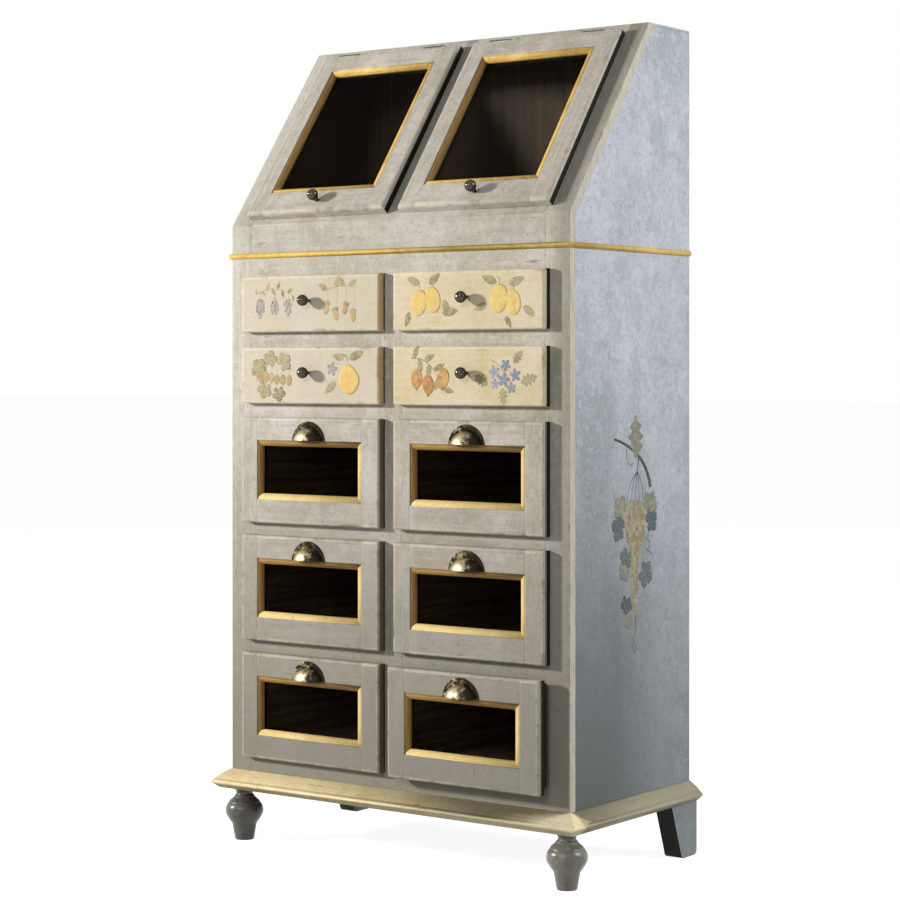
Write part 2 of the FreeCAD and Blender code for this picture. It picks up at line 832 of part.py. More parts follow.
def drilled(name, leaf):
    """A leaf with the pin's bore through its knuckles."""
    bore = sizes.pin_radius + sizes.pin_clearance
    tool = rod(f"{name}_bore", bore, sizes.hinge_length, UP_TO_RIGHT, -half_hinge, pin_y, pin_z)
    return cut(f"{name}_drilled", leaf, tool)


def fixed_leaf(name):
    """The leaf on the slope's top rail, with the two end knuckles."""
    metal = (-sizes.leaf_thickness, ZERO)
    leaf_z = (knuckle_edge, knuckle_edge + sizes.leaf_width)
    pieces = [board(f"{name}_leaf", (-half_hinge, half_hinge), metal, leaf_z)]
    for side, low in (("left", -half_hinge), ("right", half_hinge - sizes.knuckle_length)):
        span = (low, low + sizes.knuckle_length)
        pieces.append(board(f"{name}_{side}_tab", span, metal, (pin_z, knuckle_edge)))
        pieces.append(knuckle(f"{name}_{side}_knuckle", *span))
    return drilled(name, join(f"{name}_plate", pieces))


def moving_leaf(name):
    """The leaf on the flap's top edge, with the middle knuckle."""
    metal = (ZERO, sizes.leaf_thickness)
    half_knuckle = half_hinge - sizes.knuckle_length - sizes.hinge_gap
    span = (-half_knuckle, half_knuckle)
    plate_y = (-knuckle_edge - sizes.leaf_width, -knuckle_edge)
    pieces = [
        board(f"{name}_leaf", (-half_hinge, half_hinge), plate_y, metal),
        board(f"{name}_tab", span, (-knuckle_edge, pin_y), metal),
        knuckle(f"{name}_knuckle", *span),
    ]
    return drilled(name, join(f"{name}_plate", pieces))


def hinge_group(label, hinges):
    """A node of hinge pieces on the slope, each pair an object and its X."""
    for item, x in hinges:
        seat(item, x)
    lean(node(label, [item for item, _ in hinges]), ZERO, flap_top_u, ZERO)


def hinge_places(sign):
    """The X of each hinge of one flap, with a word for its side."""
    centre = sign * front_centre
    return (("left", centre - sizes.hinge_offset), ("right", centre + sizes.hinge_offset))


def flap(side, sign):
    """A glazed flap that hangs from hinges at its top edge."""
    name = f"flap_{side}"
    x = sign * front_centre
    low, high = sizes.flap_bottom_rail_height, sizes.flap_height - sizes.flap_top_rail_height
    parts = (
        (f"{name}_frame", frame_members(name, sizes.flap_height, low, high)),
        (f"{name}_moulding", window_moulding(name, low, high)),
        (f"{name}_glass", [pane(name, low, high)]),
    )
    for label, pieces in parts:
        lean(node(label, pieces), x, sizes.flap_bottom_margin, sizes.closing_gap)
    knob_u = sizes.flap_bottom_margin + sizes.flap_bottom_rail_height / 2
    lean(node(f"{name}_knob", [knob(name)]), x, knob_u, sizes.closing_gap + sizes.front_thickness)
    leaves = [(moving_leaf(f"{name}_{place}_hinge"), hinge_x) for place, hinge_x in hinge_places(sign)]
    hinge_group(f"{name}_hinge_leaves", leaves)


fixed_hinge_pieces = []
for side, sign in SIDES:
    flap(side, sign)
    for place, hinge_x in hinge_places(sign):
        name = f"frame_{side}_{place}_hinge"
        pin = rod(
            f"{name}_pin", sizes.pin_radius, sizes.hinge_length, UP_TO_RIGHT, -half_hinge, pin_y, pin_z
        )
        holder = doc.addObject("Part::Compound", f"{name}_with_pin")
        holder.Links = [fixed_leaf(name), pin]
        fixed_hinge_pieces.append((holder, hinge_x))
hinge_group("flap_hinge_fixed_leaves", fixed_hinge_pieces)

# Check every object, then write one file for each sub-part
doc.recompute()
for item in doc.Objects:
    faults = {"Invalid", "Error"} & set(item.State)
    if faults:
        raise RuntimeError(f"{item.Label} failed: {', '.join(sorted(faults))}")

os.makedirs("parts", exist_ok=True)
for item in nodes:
    if item.Shape.isNull() or not item.Shape.isValid():
        raise RuntimeError(f"{item.Label} has no valid shape")
    item.Shape.exportStep(f"parts/{item.Label}.step")
print(f"{len(nodes)} sub-parts, {sum(len(item.Shape.Solids) for item in nodes)} solids")
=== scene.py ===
"""Pantry cupboard: painted case, sloped glazed flaps, painted and glazed drawers.

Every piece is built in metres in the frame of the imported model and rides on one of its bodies.
"""

import json
import logging
import math
import random
from collections.abc import Callable, Iterable, Sequence
from dataclasses import dataclass, field
from enum import Enum

import bmesh
import bpy
from mathutils import Matrix, Vector

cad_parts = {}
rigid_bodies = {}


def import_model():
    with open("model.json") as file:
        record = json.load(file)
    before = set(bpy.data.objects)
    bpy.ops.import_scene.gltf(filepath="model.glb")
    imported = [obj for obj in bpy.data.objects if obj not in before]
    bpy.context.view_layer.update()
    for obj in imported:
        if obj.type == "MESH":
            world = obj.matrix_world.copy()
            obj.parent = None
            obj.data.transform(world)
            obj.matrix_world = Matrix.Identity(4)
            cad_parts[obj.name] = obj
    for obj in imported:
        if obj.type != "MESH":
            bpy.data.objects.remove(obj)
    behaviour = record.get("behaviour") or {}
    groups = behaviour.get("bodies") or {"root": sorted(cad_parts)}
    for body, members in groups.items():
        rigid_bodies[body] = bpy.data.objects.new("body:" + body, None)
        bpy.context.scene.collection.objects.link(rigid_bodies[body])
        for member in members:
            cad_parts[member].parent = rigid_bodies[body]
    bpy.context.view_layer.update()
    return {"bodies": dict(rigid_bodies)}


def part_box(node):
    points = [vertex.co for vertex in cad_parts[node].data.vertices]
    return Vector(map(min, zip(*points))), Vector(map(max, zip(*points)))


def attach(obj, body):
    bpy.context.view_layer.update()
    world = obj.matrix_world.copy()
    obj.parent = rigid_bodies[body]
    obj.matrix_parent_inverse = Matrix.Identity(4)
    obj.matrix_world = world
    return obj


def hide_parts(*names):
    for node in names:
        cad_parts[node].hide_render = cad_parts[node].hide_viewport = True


LOG = logging.getLogger("cupboard")
MM = 0.001

Colour = tuple[float, float, float]
Outline = Sequence[tuple[float, float]]


class Axis(Enum):
    """The three directions of a piece's own frame."""

    X = 0
    Y = 1
    Z = 2


class Coordinates(Enum):
    """What a finish reads its pattern from."""

    OBJECT = "Object"
    GRAIN = "grain"


class FaceTone(Enum):
    """A face's tone: its paint, rubbed pale, unpainted brown wood, or painted shade in dark grey, brown or black."""

    PAINTED = 0.0
    PALE = 0.2
    # painted shade on the fronts' side faces, dark grey
    SMOKED = 0.4
    # unpainted brown wood, and painted shade on the window mouldings
    BROWN = 0.6
    # painted shadow in gaps and under the case
    BLACK = 0.8


class Tint(Enum):
    """The colours of the painted sprays."""

    OLIVE = "olive"
    VIOLET = "violet"
    BROWN = "brown"
    YELLOW = "yellow"
    ORANGE = "orange"
    BLUE = "blue"
    TWIG = "twig"
    SIDE_OLIVE = "side_olive"
    SIDE_DARK = "side_dark"
    SIDE_GOLD = "side_gold"
    SIDE_TWIG = "side_twig"


# Materials


class Tree:
    """A node tree, built one node at a time."""

    def __init__(self, tree: bpy.types.NodeTree, prefix: str = "ShaderNode") -> None:
        """Start empty.

        Args:
            tree: The tree to fill.
            prefix: What the class names of its nodes start with.
        """
        self.tree = tree
        self.prefix = prefix
        tree.nodes.clear()

    def node(self, kind: str, settings: dict | None = None, **inputs: object) -> bpy.types.Node:
        """Add a node and fill its sockets.

        Args:
            kind: The node's class name without its prefix.
            settings: Properties of the node itself.
            inputs: Values or sockets by input name, with underscores for spaces.

        Returns:
            The new node.
        """
        made = self.tree.nodes.new(self.prefix + kind)
        for key, value in (settings or {}).items():
            setattr(made, key, value)
        for key, value in inputs.items():
            name = key.replace("_", " ")
            self.fill(next(socket for socket in made.inputs if socket.name == name and socket.enabled), value)
        return made

    def fill(self, socket: bpy.types.NodeSocket, value: object) -> None:
        """Link a socket to another, or set its value."""
        if isinstance(value, bpy.types.NodeSocket):
            self.tree.links.new(value, socket)
        elif socket.type == "RGBA" and len(value) == 3:
            socket.default_value = (*value, 1.0)
        else:
            socket.default_value = value

    def math(self, operation: str, *values: object, clamp: bool = False) -> bpy.types.NodeSocket:
        """A sum or comparison of sockets and numbers.

        Args:
            operation: The math node's operation.
            values: Its one to three operands.
            clamp: Whether the result is held between 0 and 1.

        Returns:
            The value socket.
        """
        made = self.tree.nodes.new("ShaderNodeMath")
        made.operation = operation
        made.use_clamp = clamp
        for socket, value in zip(made.inputs, values):
            self.fill(socket, value)
        return made.outputs[0]

    def seen(self) -> bpy.types.NodeSocket:
        """1 for what the camera sees, also in metal and through glass, and 0 for light on the object."""
        path = self.node("LightPath").outputs
        seen = self.math("MAXIMUM", path["Is Camera Ray"], path["Is Glossy Ray"])
        seen = self.math("MAXIMUM", seen, path["Is Transmission Ray"])
        return self.math("MULTIPLY", seen, self.math("LESS_THAN", path["Diffuse Depth"], 0.5))


class Shader(Tree):
    """A material's node tree."""

    def __init__(self, name: str) -> None:
        """Start an empty material of this name."""
        self.material = bpy.data.materials.new(name)
        self.material.use_nodes = True
        super().__init__(self.material.node_tree)

    def attribute(self, name: str) -> bpy.types.Node:
        """Read a mesh attribute."""
        return self.node("Attribute", {"attribute_name": name})

    def place(self, source: Coordinates, stretch: Sequence[float], shift: float = 0.0) -> bpy.types.NodeSocket:
        """Pattern coordinates, stretched along each axis.

        Args:
            source: Where the coordinates come from.
            stretch: Scale along each axis.
            shift: An offset that keeps two patterns apart.

        Returns:
            The vector socket.
        """
        if source is Coordinates.GRAIN:
            vector = self.attribute(source.value).outputs["Vector"]
        else:
            vector = self.node("TexCoord").outputs[source.value]
        mapping = self.node("Mapping", Vector=vector)
        mapping.inputs["Scale"].default_value = stretch
        mapping.inputs["Location"].default_value = (shift, shift, shift)
        return mapping.outputs["Vector"]

    def noise(self, vector: bpy.types.NodeSocket, scale: float, detail: float = 3.0,
              roughness: float = 0.55, distortion: float = 0.0) -> bpy.types.NodeSocket:
        """A noise value from 0 to 1."""
        made = self.node("TexNoise", Vector=vector, Scale=scale, Detail=detail,
                         Roughness=roughness, Distortion=distortion)
        return made.outputs["Fac"]

    def band(self, value: bpy.types.NodeSocket, low: float, high: float) -> bpy.types.NodeSocket:
        """A smooth step from 0 at low to 1 at high; low may be the larger."""
        made = self.node("MapRange", {"interpolation_type": "SMOOTHSTEP", "clamp": True}, Value=value)
        made.inputs["From Min"].default_value = low
        made.inputs["From Max"].default_value = high
        return made.outputs["Result"]

    def mix(self, factor: object, first: object, second: object, blend: str = "MIX") -> bpy.types.NodeSocket:
        """Blend two colours.

        Args:
            factor: How much of the second colour shows.
            first: The colour below.
            second: The colour above.
            blend: The mix node's blend type.

        Returns:
            The colour socket.
        """
        made = self.node("Mix", {"data_type": "RGBA", "blend_type": blend})
        self.fill(made.inputs[0], factor)
        self.fill(made.inputs[6], first)
        self.fill(made.inputs[7], second)
        return made.outputs[2]

    def dots(self, vector: bpy.types.NodeSocket, scale: float, radius: float, share: float) -> bpy.types.NodeSocket:
        """Scattered round specks.

        Args:
            vector: Pattern coordinates.
            scale: Cells per metre.
            radius: The speck's radius as a share of a cell.
            share: The share of cells that hold a speck.

        Returns:
            A mask that is 1 inside a speck.
        """
        cell = self.node("TexVoronoi", Vector=vector, Scale=scale, Randomness=1.0)
        chosen = self.math("LESS_THAN", self.node("SeparateColor", Color=cell.outputs["Color"]).outputs[0], share)
        near = self.band(cell.outputs["Distance"], radius, radius * 0.45)
        return self.math("MULTIPLY", chosen, near)

    def bump(self, height: bpy.types.NodeSocket, strength: float, distance: float,
             under: bpy.types.NodeSocket | None = None) -> bpy.types.NodeSocket:
        """A normal raised by a height.

        Args:
            height: The height's socket.
            strength: How strongly the relief shows.
            distance: The relief's depth in metres.
            under: A normal to add it to.

        Returns:
            The normal socket.
        """
        made = self.node("Bump", Height=height, Strength=strength, Distance=distance)
        if under is not None:
            self.fill(made.inputs["Normal"], under)
        return made.outputs["Normal"]

    def finish(self, surface: bpy.types.Node) -> bpy.types.Material:
        """Connect the surface shader and hand the material over."""
        self.node("OutputMaterial", Surface=surface.outputs[0])
        return self.material


@dataclass(frozen=True)
class Shade:
    """A tone that a paint drifts to along one axis, everywhere or where further drifts hold too."""

    axis: Axis
    start: float
    end: float
    amount: float
    tone: Colour
    within: tuple[tuple[Axis, float, float], ...] = ()

    def lay(self, s: Shader, place: bpy.types.NodeOutputs, colour: bpy.types.NodeSocket) -> bpy.types.NodeSocket:
        """Lay the tone over a colour.

        Args:
            s: The material in the making.
            place: The sockets of the place's X, Y and Z.
            colour: The colour below.

        Returns:
            The shaded colour.
        """
        mask = s.math("MULTIPLY", s.band(place[self.axis.name], self.start, self.end), self.amount)
        for axis, first, last in self.within:
            mask = s.math("MULTIPLY", mask, s.band(place[axis.name], first, last))
        return s.mix(mask, colour, self.tone)


@dataclass(frozen=True)
class AgedPaint:
    """Brushed paint, clouded, flecked and rubbed pale at the edges, with painted shade and painted light laid over it
    by its shades and marked faces.

    The colours are linear. Patterns that run with the brush follow each board's grain.
    """

    name: str
    base: Colour
    cloud_light: Colour
    cloud_dark: Colour
    shades: tuple[Shade, ...] = ()
    patch: Colour = (0.45, 0.45, 0.45)
    patch_amount: float = 0.0
    mottle_amount: float = 0.60
    streak_amount: float = 0.45
    fleck: Colour = (0.13, 0.11, 0.085)
    fleck_share: float = 0.62
    fleck_amount: float = 0.75
    crack_amount: float = 0.65
    rub: Colour = (0.63, 0.57, 0.46)
    rub_dark: Colour = (0.24, 0.17, 0.10)
    rub_amount: float = 0.45
    rub_reach: float = 0.82
    # Tones of marked faces: brown is unpainted wood, and painted shade on the window mouldings; the next two are
    # painted shade on side faces and in gaps.
    brown: Colour = (0.27, 0.155, 0.055)
    side_shade: Colour = (0.20, 0.195, 0.155)
    black: Colour = (0.007, 0.006, 0.004)
    roughness: float = 0.55
    gloss: float = 0.14

    def make(self) -> bpy.types.Material:
        """Build the material.

        Returns:
            The finished material.
        """
        s = Shader(self.name)
        wide = s.place(Coordinates.OBJECT, (1.0, 1.0, 0.42))
        even = s.place(Coordinates.OBJECT, (1.0, 1.0, 1.0), 3.7)
        brush = s.place(Coordinates.GRAIN, (0.06, 1.0, 1.0))

        patches = s.math("MULTIPLY", s.band(s.noise(wide, 15.0, 4.0, 0.65), 0.48, 0.66), self.patch_amount)
        colour = s.mix(patches, self.base, self.patch)
        colour = self.clouds(s, wide, 6.0, 1.0, colour)
        colour = self.clouds(s, even, 24.0, 0.8 * self.mottle_amount, colour)
        streaks = s.noise(s.place(Coordinates.GRAIN, (0.05, 1.0, 1.0), 5.3), 105.0, 4.0, 0.6)
        colour = s.mix(s.math("MULTIPLY", s.band(streaks, 0.50, 0.70), self.streak_amount), colour, self.cloud_light)
        colour = s.mix(s.math("MULTIPLY", s.band(streaks, 0.50, 0.30), self.streak_amount), colour, self.cloud_dark)
        mottle = s.noise(even, 85.0, 5.0, 0.8)
        colour = s.mix(s.math("MULTIPLY", s.band(mottle, 0.50, 0.68), self.mottle_amount), colour, self.cloud_light)
        colour = s.mix(s.math("MULTIPLY", s.band(mottle, 0.50, 0.32), self.mottle_amount), colour, self.cloud_dark)
        colour = self.lay_shades(s, colour)

        gathered = s.band(s.noise(even, 8.0, 3.0, 0.6), 0.36, 0.62)
        cracks = s.math("MULTIPLY", self.lines(s), gathered)
        specks = s.math("MAXIMUM", s.dots(even, 200.0, 0.24, 0.6 * self.fleck_share), s.dots(even, 88.0, 0.15, self.fleck_share))
        colour = s.mix(s.math("MULTIPLY", specks, self.fleck_amount), colour, self.fleck)
        colour = s.mix(s.math("MULTIPLY", cracks, self.crack_amount), colour, self.fleck)

        wear = s.attribute("wear").outputs["Fac"]
        rough = s.noise(even, 60.0, 5.0, 0.7)
        rubbed = s.math("MULTIPLY_ADD", s.math("SUBTRACT", rough, 0.5), 0.9, wear)
        edge = s.math("MULTIPLY", s.band(rubbed, self.rub_reach, self.rub_reach + 0.25), self.rub_amount)
        tone = s.band(s.noise(even, 20.0, 3.0, 0.6), 0.56, 0.66)
        colour = s.mix(edge, colour, s.mix(tone, self.rub, self.rub_dark))
        strokes = s.noise(brush, 420.0, 3.0, 0.6)
        colour = self.worn_and_shaded_faces(s, colour, strokes)

        relief = s.math("ADD", strokes, s.math("MULTIPLY", s.math("ADD", cracks, specks), -0.7))
        normal = s.bump(relief, 0.30, 0.35 * MM)
        normal = s.bump(mottle, 0.22, 0.6 * MM, normal)
        shine = s.math("MULTIPLY_ADD", mottle, 0.22, self.roughness - 0.11)
        surface = s.node("BsdfPrincipled", Base_Color=colour, Roughness=shine, Normal=normal,
                         Specular_IOR_Level=self.gloss)
        return s.finish(surface)

    def lay_shades(self, s: Shader, colour: bpy.types.NodeSocket) -> bpy.types.NodeSocket:
        """Lay the shades over the paint; most of them are painted shade or painted light."""
        place = s.node("SeparateXYZ", Vector=s.node("TexCoord").outputs["Object"]).outputs
        for shade in self.shades:
            colour = shade.lay(s, place, colour)
        return colour

    def clouds(self, s: Shader, place: bpy.types.NodeSocket, scale: float, amount: float,
               colour: object) -> bpy.types.NodeSocket:
        """Drift a colour towards its light and its dark tone.

        Args:
            s: The material in the making.
            place: The pattern's coordinates.
            scale: The pattern's scale.
            amount: How far the colour drifts.
            colour: The colour to start from.

        Returns:
            The clouded colour.
        """
        drift = s.noise(place, scale, 5.0, 0.6, 0.5)
        colour = s.mix(s.math("MULTIPLY", s.band(drift, 0.50, 0.70), amount), colour, self.cloud_light)
        return s.mix(s.math("MULTIPLY", s.band(drift, 0.50, 0.30), amount), colour, self.cloud_dark)

    def lines(self, s: Shader) -> bpy.types.NodeSocket:
        """Fine cracks along and across the grain.

        Args:
            s: The material in the making.

        Returns:
            A mask that is 1 inside a crack.
        """
        along = s.noise(s.place(Coordinates.GRAIN, (0.10, 1.0, 1.0), 1.9), 165.0, 4.0, 0.65)
        across = s.noise(s.place(Coordinates.GRAIN, (1.0, 0.12, 0.12), 4.1), 165.0, 4.0, 0.65)
        return s.math("MAXIMUM", s.band(along, 0.63, 0.70), s.band(across, 0.66, 0.73))

    def worn_and_shaded_faces(self, s: Shader, colour: bpy.types.NodeSocket, strokes: bpy.types.NodeSocket) -> bpy.types.NodeSocket:
        """Give the marked faces a rubbed pale or unpainted brown tone, or a painted shade in dark grey, brown or black.

        Args:
            s: The material in the making.
            colour: The paint's colour.
            strokes: A streaky pattern along the grain.

        Returns:
            The colour with the marked faces.
        """
        wear_and_shade_tone = s.attribute("wear_and_shade_tone").outputs["Fac"]
        tone = self.rub
        for step, above in ((FaceTone.SMOKED, self.side_shade), (FaceTone.BROWN, self.brown), (FaceTone.BLACK, self.black)):
            tone = s.mix(s.math("GREATER_THAN", wear_and_shade_tone, step.value - 0.1), tone, above)
        streaked = s.mix(s.math("MULTIPLY", s.band(strokes, 0.45, 0.7), 0.35), tone, self.black)
        return s.mix(s.math("MULTIPLY", s.math("GREATER_THAN", wear_and_shade_tone, 0.1), 0.985), colour, streaked)


@dataclass(frozen=True)
class StainedWood:
    """Bare boards stained dark, with a grain that follows their length."""

    name: str
    light: Colour
    dark: Colour
    pore: Colour
    coordinates: Coordinates = Coordinates.GRAIN
    roughness: float = 0.6

    def make(self) -> bpy.types.Material:
        """Build the material.

        Returns:
            The finished material.
        """
        s = Shader(self.name)
        along = s.place(self.coordinates, (0.045, 1.0, 1.0))
        pores = s.place(self.coordinates, (0.03, 1.0, 1.0), 2.3)
        rings = s.noise(along, 60.0, 5.0, 0.6, 0.8)
        fibre = s.noise(pores, 700.0, 2.0, 0.5)
        colour = s.mix(s.band(rings, 0.32, 0.68), self.dark, self.light)
        colour = s.mix(s.math("MULTIPLY", s.band(fibre, 0.56, 0.72), 0.7), colour, self.pore)
        wear = s.attribute("wear").outputs["Fac"]
        grime = s.noise(s.place(Coordinates.OBJECT, (1.0, 1.0, 1.0)), 16.0, 4.0, 0.6)
        colour = s.mix(s.math("MULTIPLY", s.band(grime, 0.45, 0.7), 0.35), colour, self.dark)
        edge = s.band(s.math("MULTIPLY_ADD", grime, 0.7, wear), 1.15, 1.45)
        colour = s.mix(s.math("MULTIPLY", edge, 0.5), colour, self.light)
        normal = s.bump(s.math("ADD", rings, fibre), 0.3, 0.3 * MM)
        shine = s.math("MULTIPLY_ADD", rings, 0.15, self.roughness)
        return s.finish(s.node("BsdfPrincipled", Base_Color=colour, Roughness=shine, Normal=normal,
                               Specular_IOR_Level=0.12))


@dataclass(frozen=True)
class AgedMetal:
    """Cast metal, polished where hands touch it and dark in its hollows; on the cup pulls that brightness is a painted
    reflection, bright at the left and dark at the right.
    """

    name: str
    bright: Colour
    tarnish: Colour
    tarnish_from: float
    tarnish_to: float
    roughness: float
    scale: float = 90.0

    def make(self) -> bpy.types.Material:
        """Build the material.

        Returns:
            The finished material.
        """
        s = Shader(self.name)
        even = s.place(Coordinates.OBJECT, (1.0, 1.0, 1.0))
        cast = s.noise(even, self.scale, 5.0, 0.65)
        fine = s.noise(even, self.scale * 7.0, 3.0, 0.6)
        wear = s.attribute("wear").outputs["Fac"]
        dark = s.band(s.math("SUBTRACT", cast, s.math("MULTIPLY", wear, 0.38)), self.tarnish_from, self.tarnish_to)
        colour = s.mix(dark, self.bright, self.tarnish)
        shine = s.math("MULTIPLY_ADD", dark, 0.28, s.math("MULTIPLY_ADD", fine, 0.12, self.roughness))
        normal = s.bump(s.math("MULTIPLY_ADD", fine, 0.4, cast), 0.25, 0.3 * MM)
        return s.finish(s.node("BsdfPrincipled", Base_Color=colour, Metallic=1.0, Roughness=shine, Normal=normal))


@dataclass(frozen=True)
class WindowGlass:
    """Old drawn glass: clear, very slightly uneven, with a little dust."""

    name: str
    tint: Colour = (0.93, 0.97, 0.95)
    refraction: float = 1.04

    def make(self) -> bpy.types.Material:
        """Build the material.

        Returns:
            The finished material.
        """
        s = Shader(self.name)
        even = s.place(Coordinates.OBJECT, (1.0, 1.0, 0.35))
        wave = s.noise(even, 7.0, 1.0, 0.5)
        dust = s.noise(even, 60.0, 5.0, 0.7)
        tint = s.mix(s.band(dust, 0.45, 0.75), self.tint, tuple(0.86 * share for share in self.tint))
        normal = s.bump(wave, 0.05, 0.5 * MM)
        glass = s.node("BsdfPrincipled", Base_Color=tint, IOR=self.refraction, Transmission_Weight=1.0,
                       Roughness=0.0, Normal=normal)
        clear = s.node("BsdfTransparent", Color=self.tint)
        shadow = s.node("LightPath").outputs["Is Shadow Ray"]
        mixed = s.node("MixShader")
        s.fill(mixed.inputs[0], shadow)
        s.fill(mixed.inputs[1], glass.outputs[0])
        s.fill(mixed.inputs[2], clear.outputs[0])
        return s.finish(mixed)


@dataclass(frozen=True)
class MotifPaint:
    """Thin brushed colour on a painted ground, loosely outlined and rubbed through in places."""

    name: str
    light: Colour
    deep: Colour
    accent: Colour
    outline: Colour
    ground: Colour
    outlined: float = 0.45
    rubbed: float = 0.7

    def make(self) -> bpy.types.Material:
        """Build the material.

        Returns:
            The finished material.
        """
        s = Shader(self.name)
        even = s.place(Coordinates.OBJECT, (1.0, 1.0, 1.0))
        brush = s.noise(s.place(Coordinates.OBJECT, (1.0, 1.0, 0.5)), 210.0, 4.0, 0.65, 0.8)
        pooled = s.noise(even, 75.0, 2.0, 0.5)
        chips = s.noise(even, 380.0, 4.0, 0.7)
        tone = s.attribute("tone").outputs["Fac"]
        rim = s.attribute("rim").outputs["Fac"]
        shade = s.math("MULTIPLY_ADD", tone, 0.7, s.math("MULTIPLY_ADD", brush, 2.2, -1.0), clamp=True)
        colour = s.mix(shade, self.light, self.deep)
        colour = s.mix(s.math("MULTIPLY", s.band(pooled, 0.48, 0.62), 0.65), colour, self.accent)
        edge = s.math("MULTIPLY_ADD", s.math("SUBTRACT", chips, 0.5), 1.6, rim)
        colour = s.mix(s.math("MULTIPLY", s.band(edge, 0.45, 1.0), self.outlined), colour, self.outline)
        colour = s.mix(s.math("MULTIPLY", s.band(chips, 0.50, 0.64), self.rubbed), colour, self.ground)
        normal = s.bump(brush, 0.15, 0.2 * MM)
        return s.finish(s.node("BsdfPrincipled", Base_Color=colour, Roughness=0.6, Normal=normal,
                               Specular_IOR_Level=0.15))


@dataclass(frozen=True)
class StudioFloor:
    """A matt pale floor that reads as white and keeps the shadow."""

    name: str
    matt: float = 0.50
    lift: float = 0.92

    def make(self) -> bpy.types.Material:
        """Build the material.

        Returns:
            The finished material.
        """
        s = Shader(self.name)
        grain = s.noise(s.place(Coordinates.OBJECT, (1.0, 1.0, 1.0)), 3.0, 2.0)
        tone = s.math("MULTIPLY_ADD", grain, 0.01, self.matt - 0.005)
        matt = s.node("BsdfDiffuse", Color=s.node("CombineColor", Red=tone, Green=tone, Blue=tone).outputs[0])
        glow = s.node("Emission", Color=(1.0, 1.0, 1.0), Strength=s.math("MULTIPLY", s.seen(), self.lift))
        both = s.node("AddShader")
        s.fill(both.inputs[0], matt.outputs[0])
        s.fill(both.inputs[1], glow.outputs[0])
        return s.finish(both)


# Repeated shapes


class Shape(Enum):
    """Small shapes that are set many times, in the order in which their collection holds them.

    A leaf grows up from its stem, and the others sit round their middle.
    """

    ACORN = "acorn"
    ACORN_CUP = "acorn_cup"
    BERRY = "berry"
    FLOWER = "flower"
    IVY_LEAF = "ivy_leaf"
    LEAF = "leaf"
    NAIL = "nail"
    OAK_LEAF = "oak_leaf"
    PLUM = "plum"
    QUINCE = "quince"


@dataclass(frozen=True)
class Mark:
    """One place of a shape in a board's own plane; a turn is in radians, clockwise from the front."""

    shape: Shape
    x: float
    z: float
    size: float
    turn: float = 0.0


def oval(across: float, high: float, steps: int, lift: float = 0.0) -> list[tuple[float, float]]:
    """An oval of two half axes, lifted from the middle."""
    turns = [2 * math.pi * step / steps for step in range(steps)]
    return [(across * math.cos(turn), lift + high * math.sin(turn)) for turn in turns]


def petalled(petals: int, depth: float, steps: int) -> list[tuple[float, float]]:
    """A flower's round petals.

    Args:
        petals: The number of petals.
        depth: How deep the notches are, as a share of the radius.
        steps: The number of points.

    Returns:
        The outline.
    """
    made = []
    for step in range(steps):
        turn = 2 * math.pi * step / steps
        radius = 0.5 * (1 - depth * (1 - abs(math.cos(petals * turn / 2))))
        made.append((-radius * math.sin(turn), radius * math.cos(turn)))
    return made


def lobed_leaf(steps: int) -> list[tuple[float, float]]:
    """A broad leaf with five blunt lobes and fine teeth, drawn in where its stem meets it.

    Args:
        steps: The number of points.

    Returns:
        The outline.
    """
    made = []
    for step in range(steps):
        turn = 2 * math.pi * step / steps
        lobes = 1 - 0.27 * (1 - abs(math.cos(2.5 * turn))) ** 1.2
        teeth = 1 + 0.045 * math.cos(15 * turn)
        drawn_in = 1 - 0.38 * math.exp(-((math.pi - turn) / 0.28) ** 2)
        radius = 0.5 * lobes * teeth * drawn_in * (1 + 0.14 * math.cos(turn))
        made.append((-1.12 * radius * math.sin(turn), radius * math.cos(turn)))
    return made


def bladed(widest: float, steps: int, notches: int = 0, depth: float = 0.0) -> list[tuple[float, float]]:
    """A pointed leaf of unit length that grows from its stem.

    Args:
        widest: Half the leaf's width.
        steps: The number of points on each side.
        notches: The number of notches on each side.
        depth: How deep they are, as a share of the width.

    Returns:
        The outline, the same on both sides.
    """
    right = []
    for step in range(steps + 1):
        share = step / steps
        notch = 1 - depth * (0.5 - 0.5 * math.cos(2 * math.pi * notches * share))
        right.append((widest * abs(math.sin(math.pi * share ** 0.8)) ** 0.8 * notch, share))
    return right + [(-across, high) for across, high in reversed(right[1:-1])]


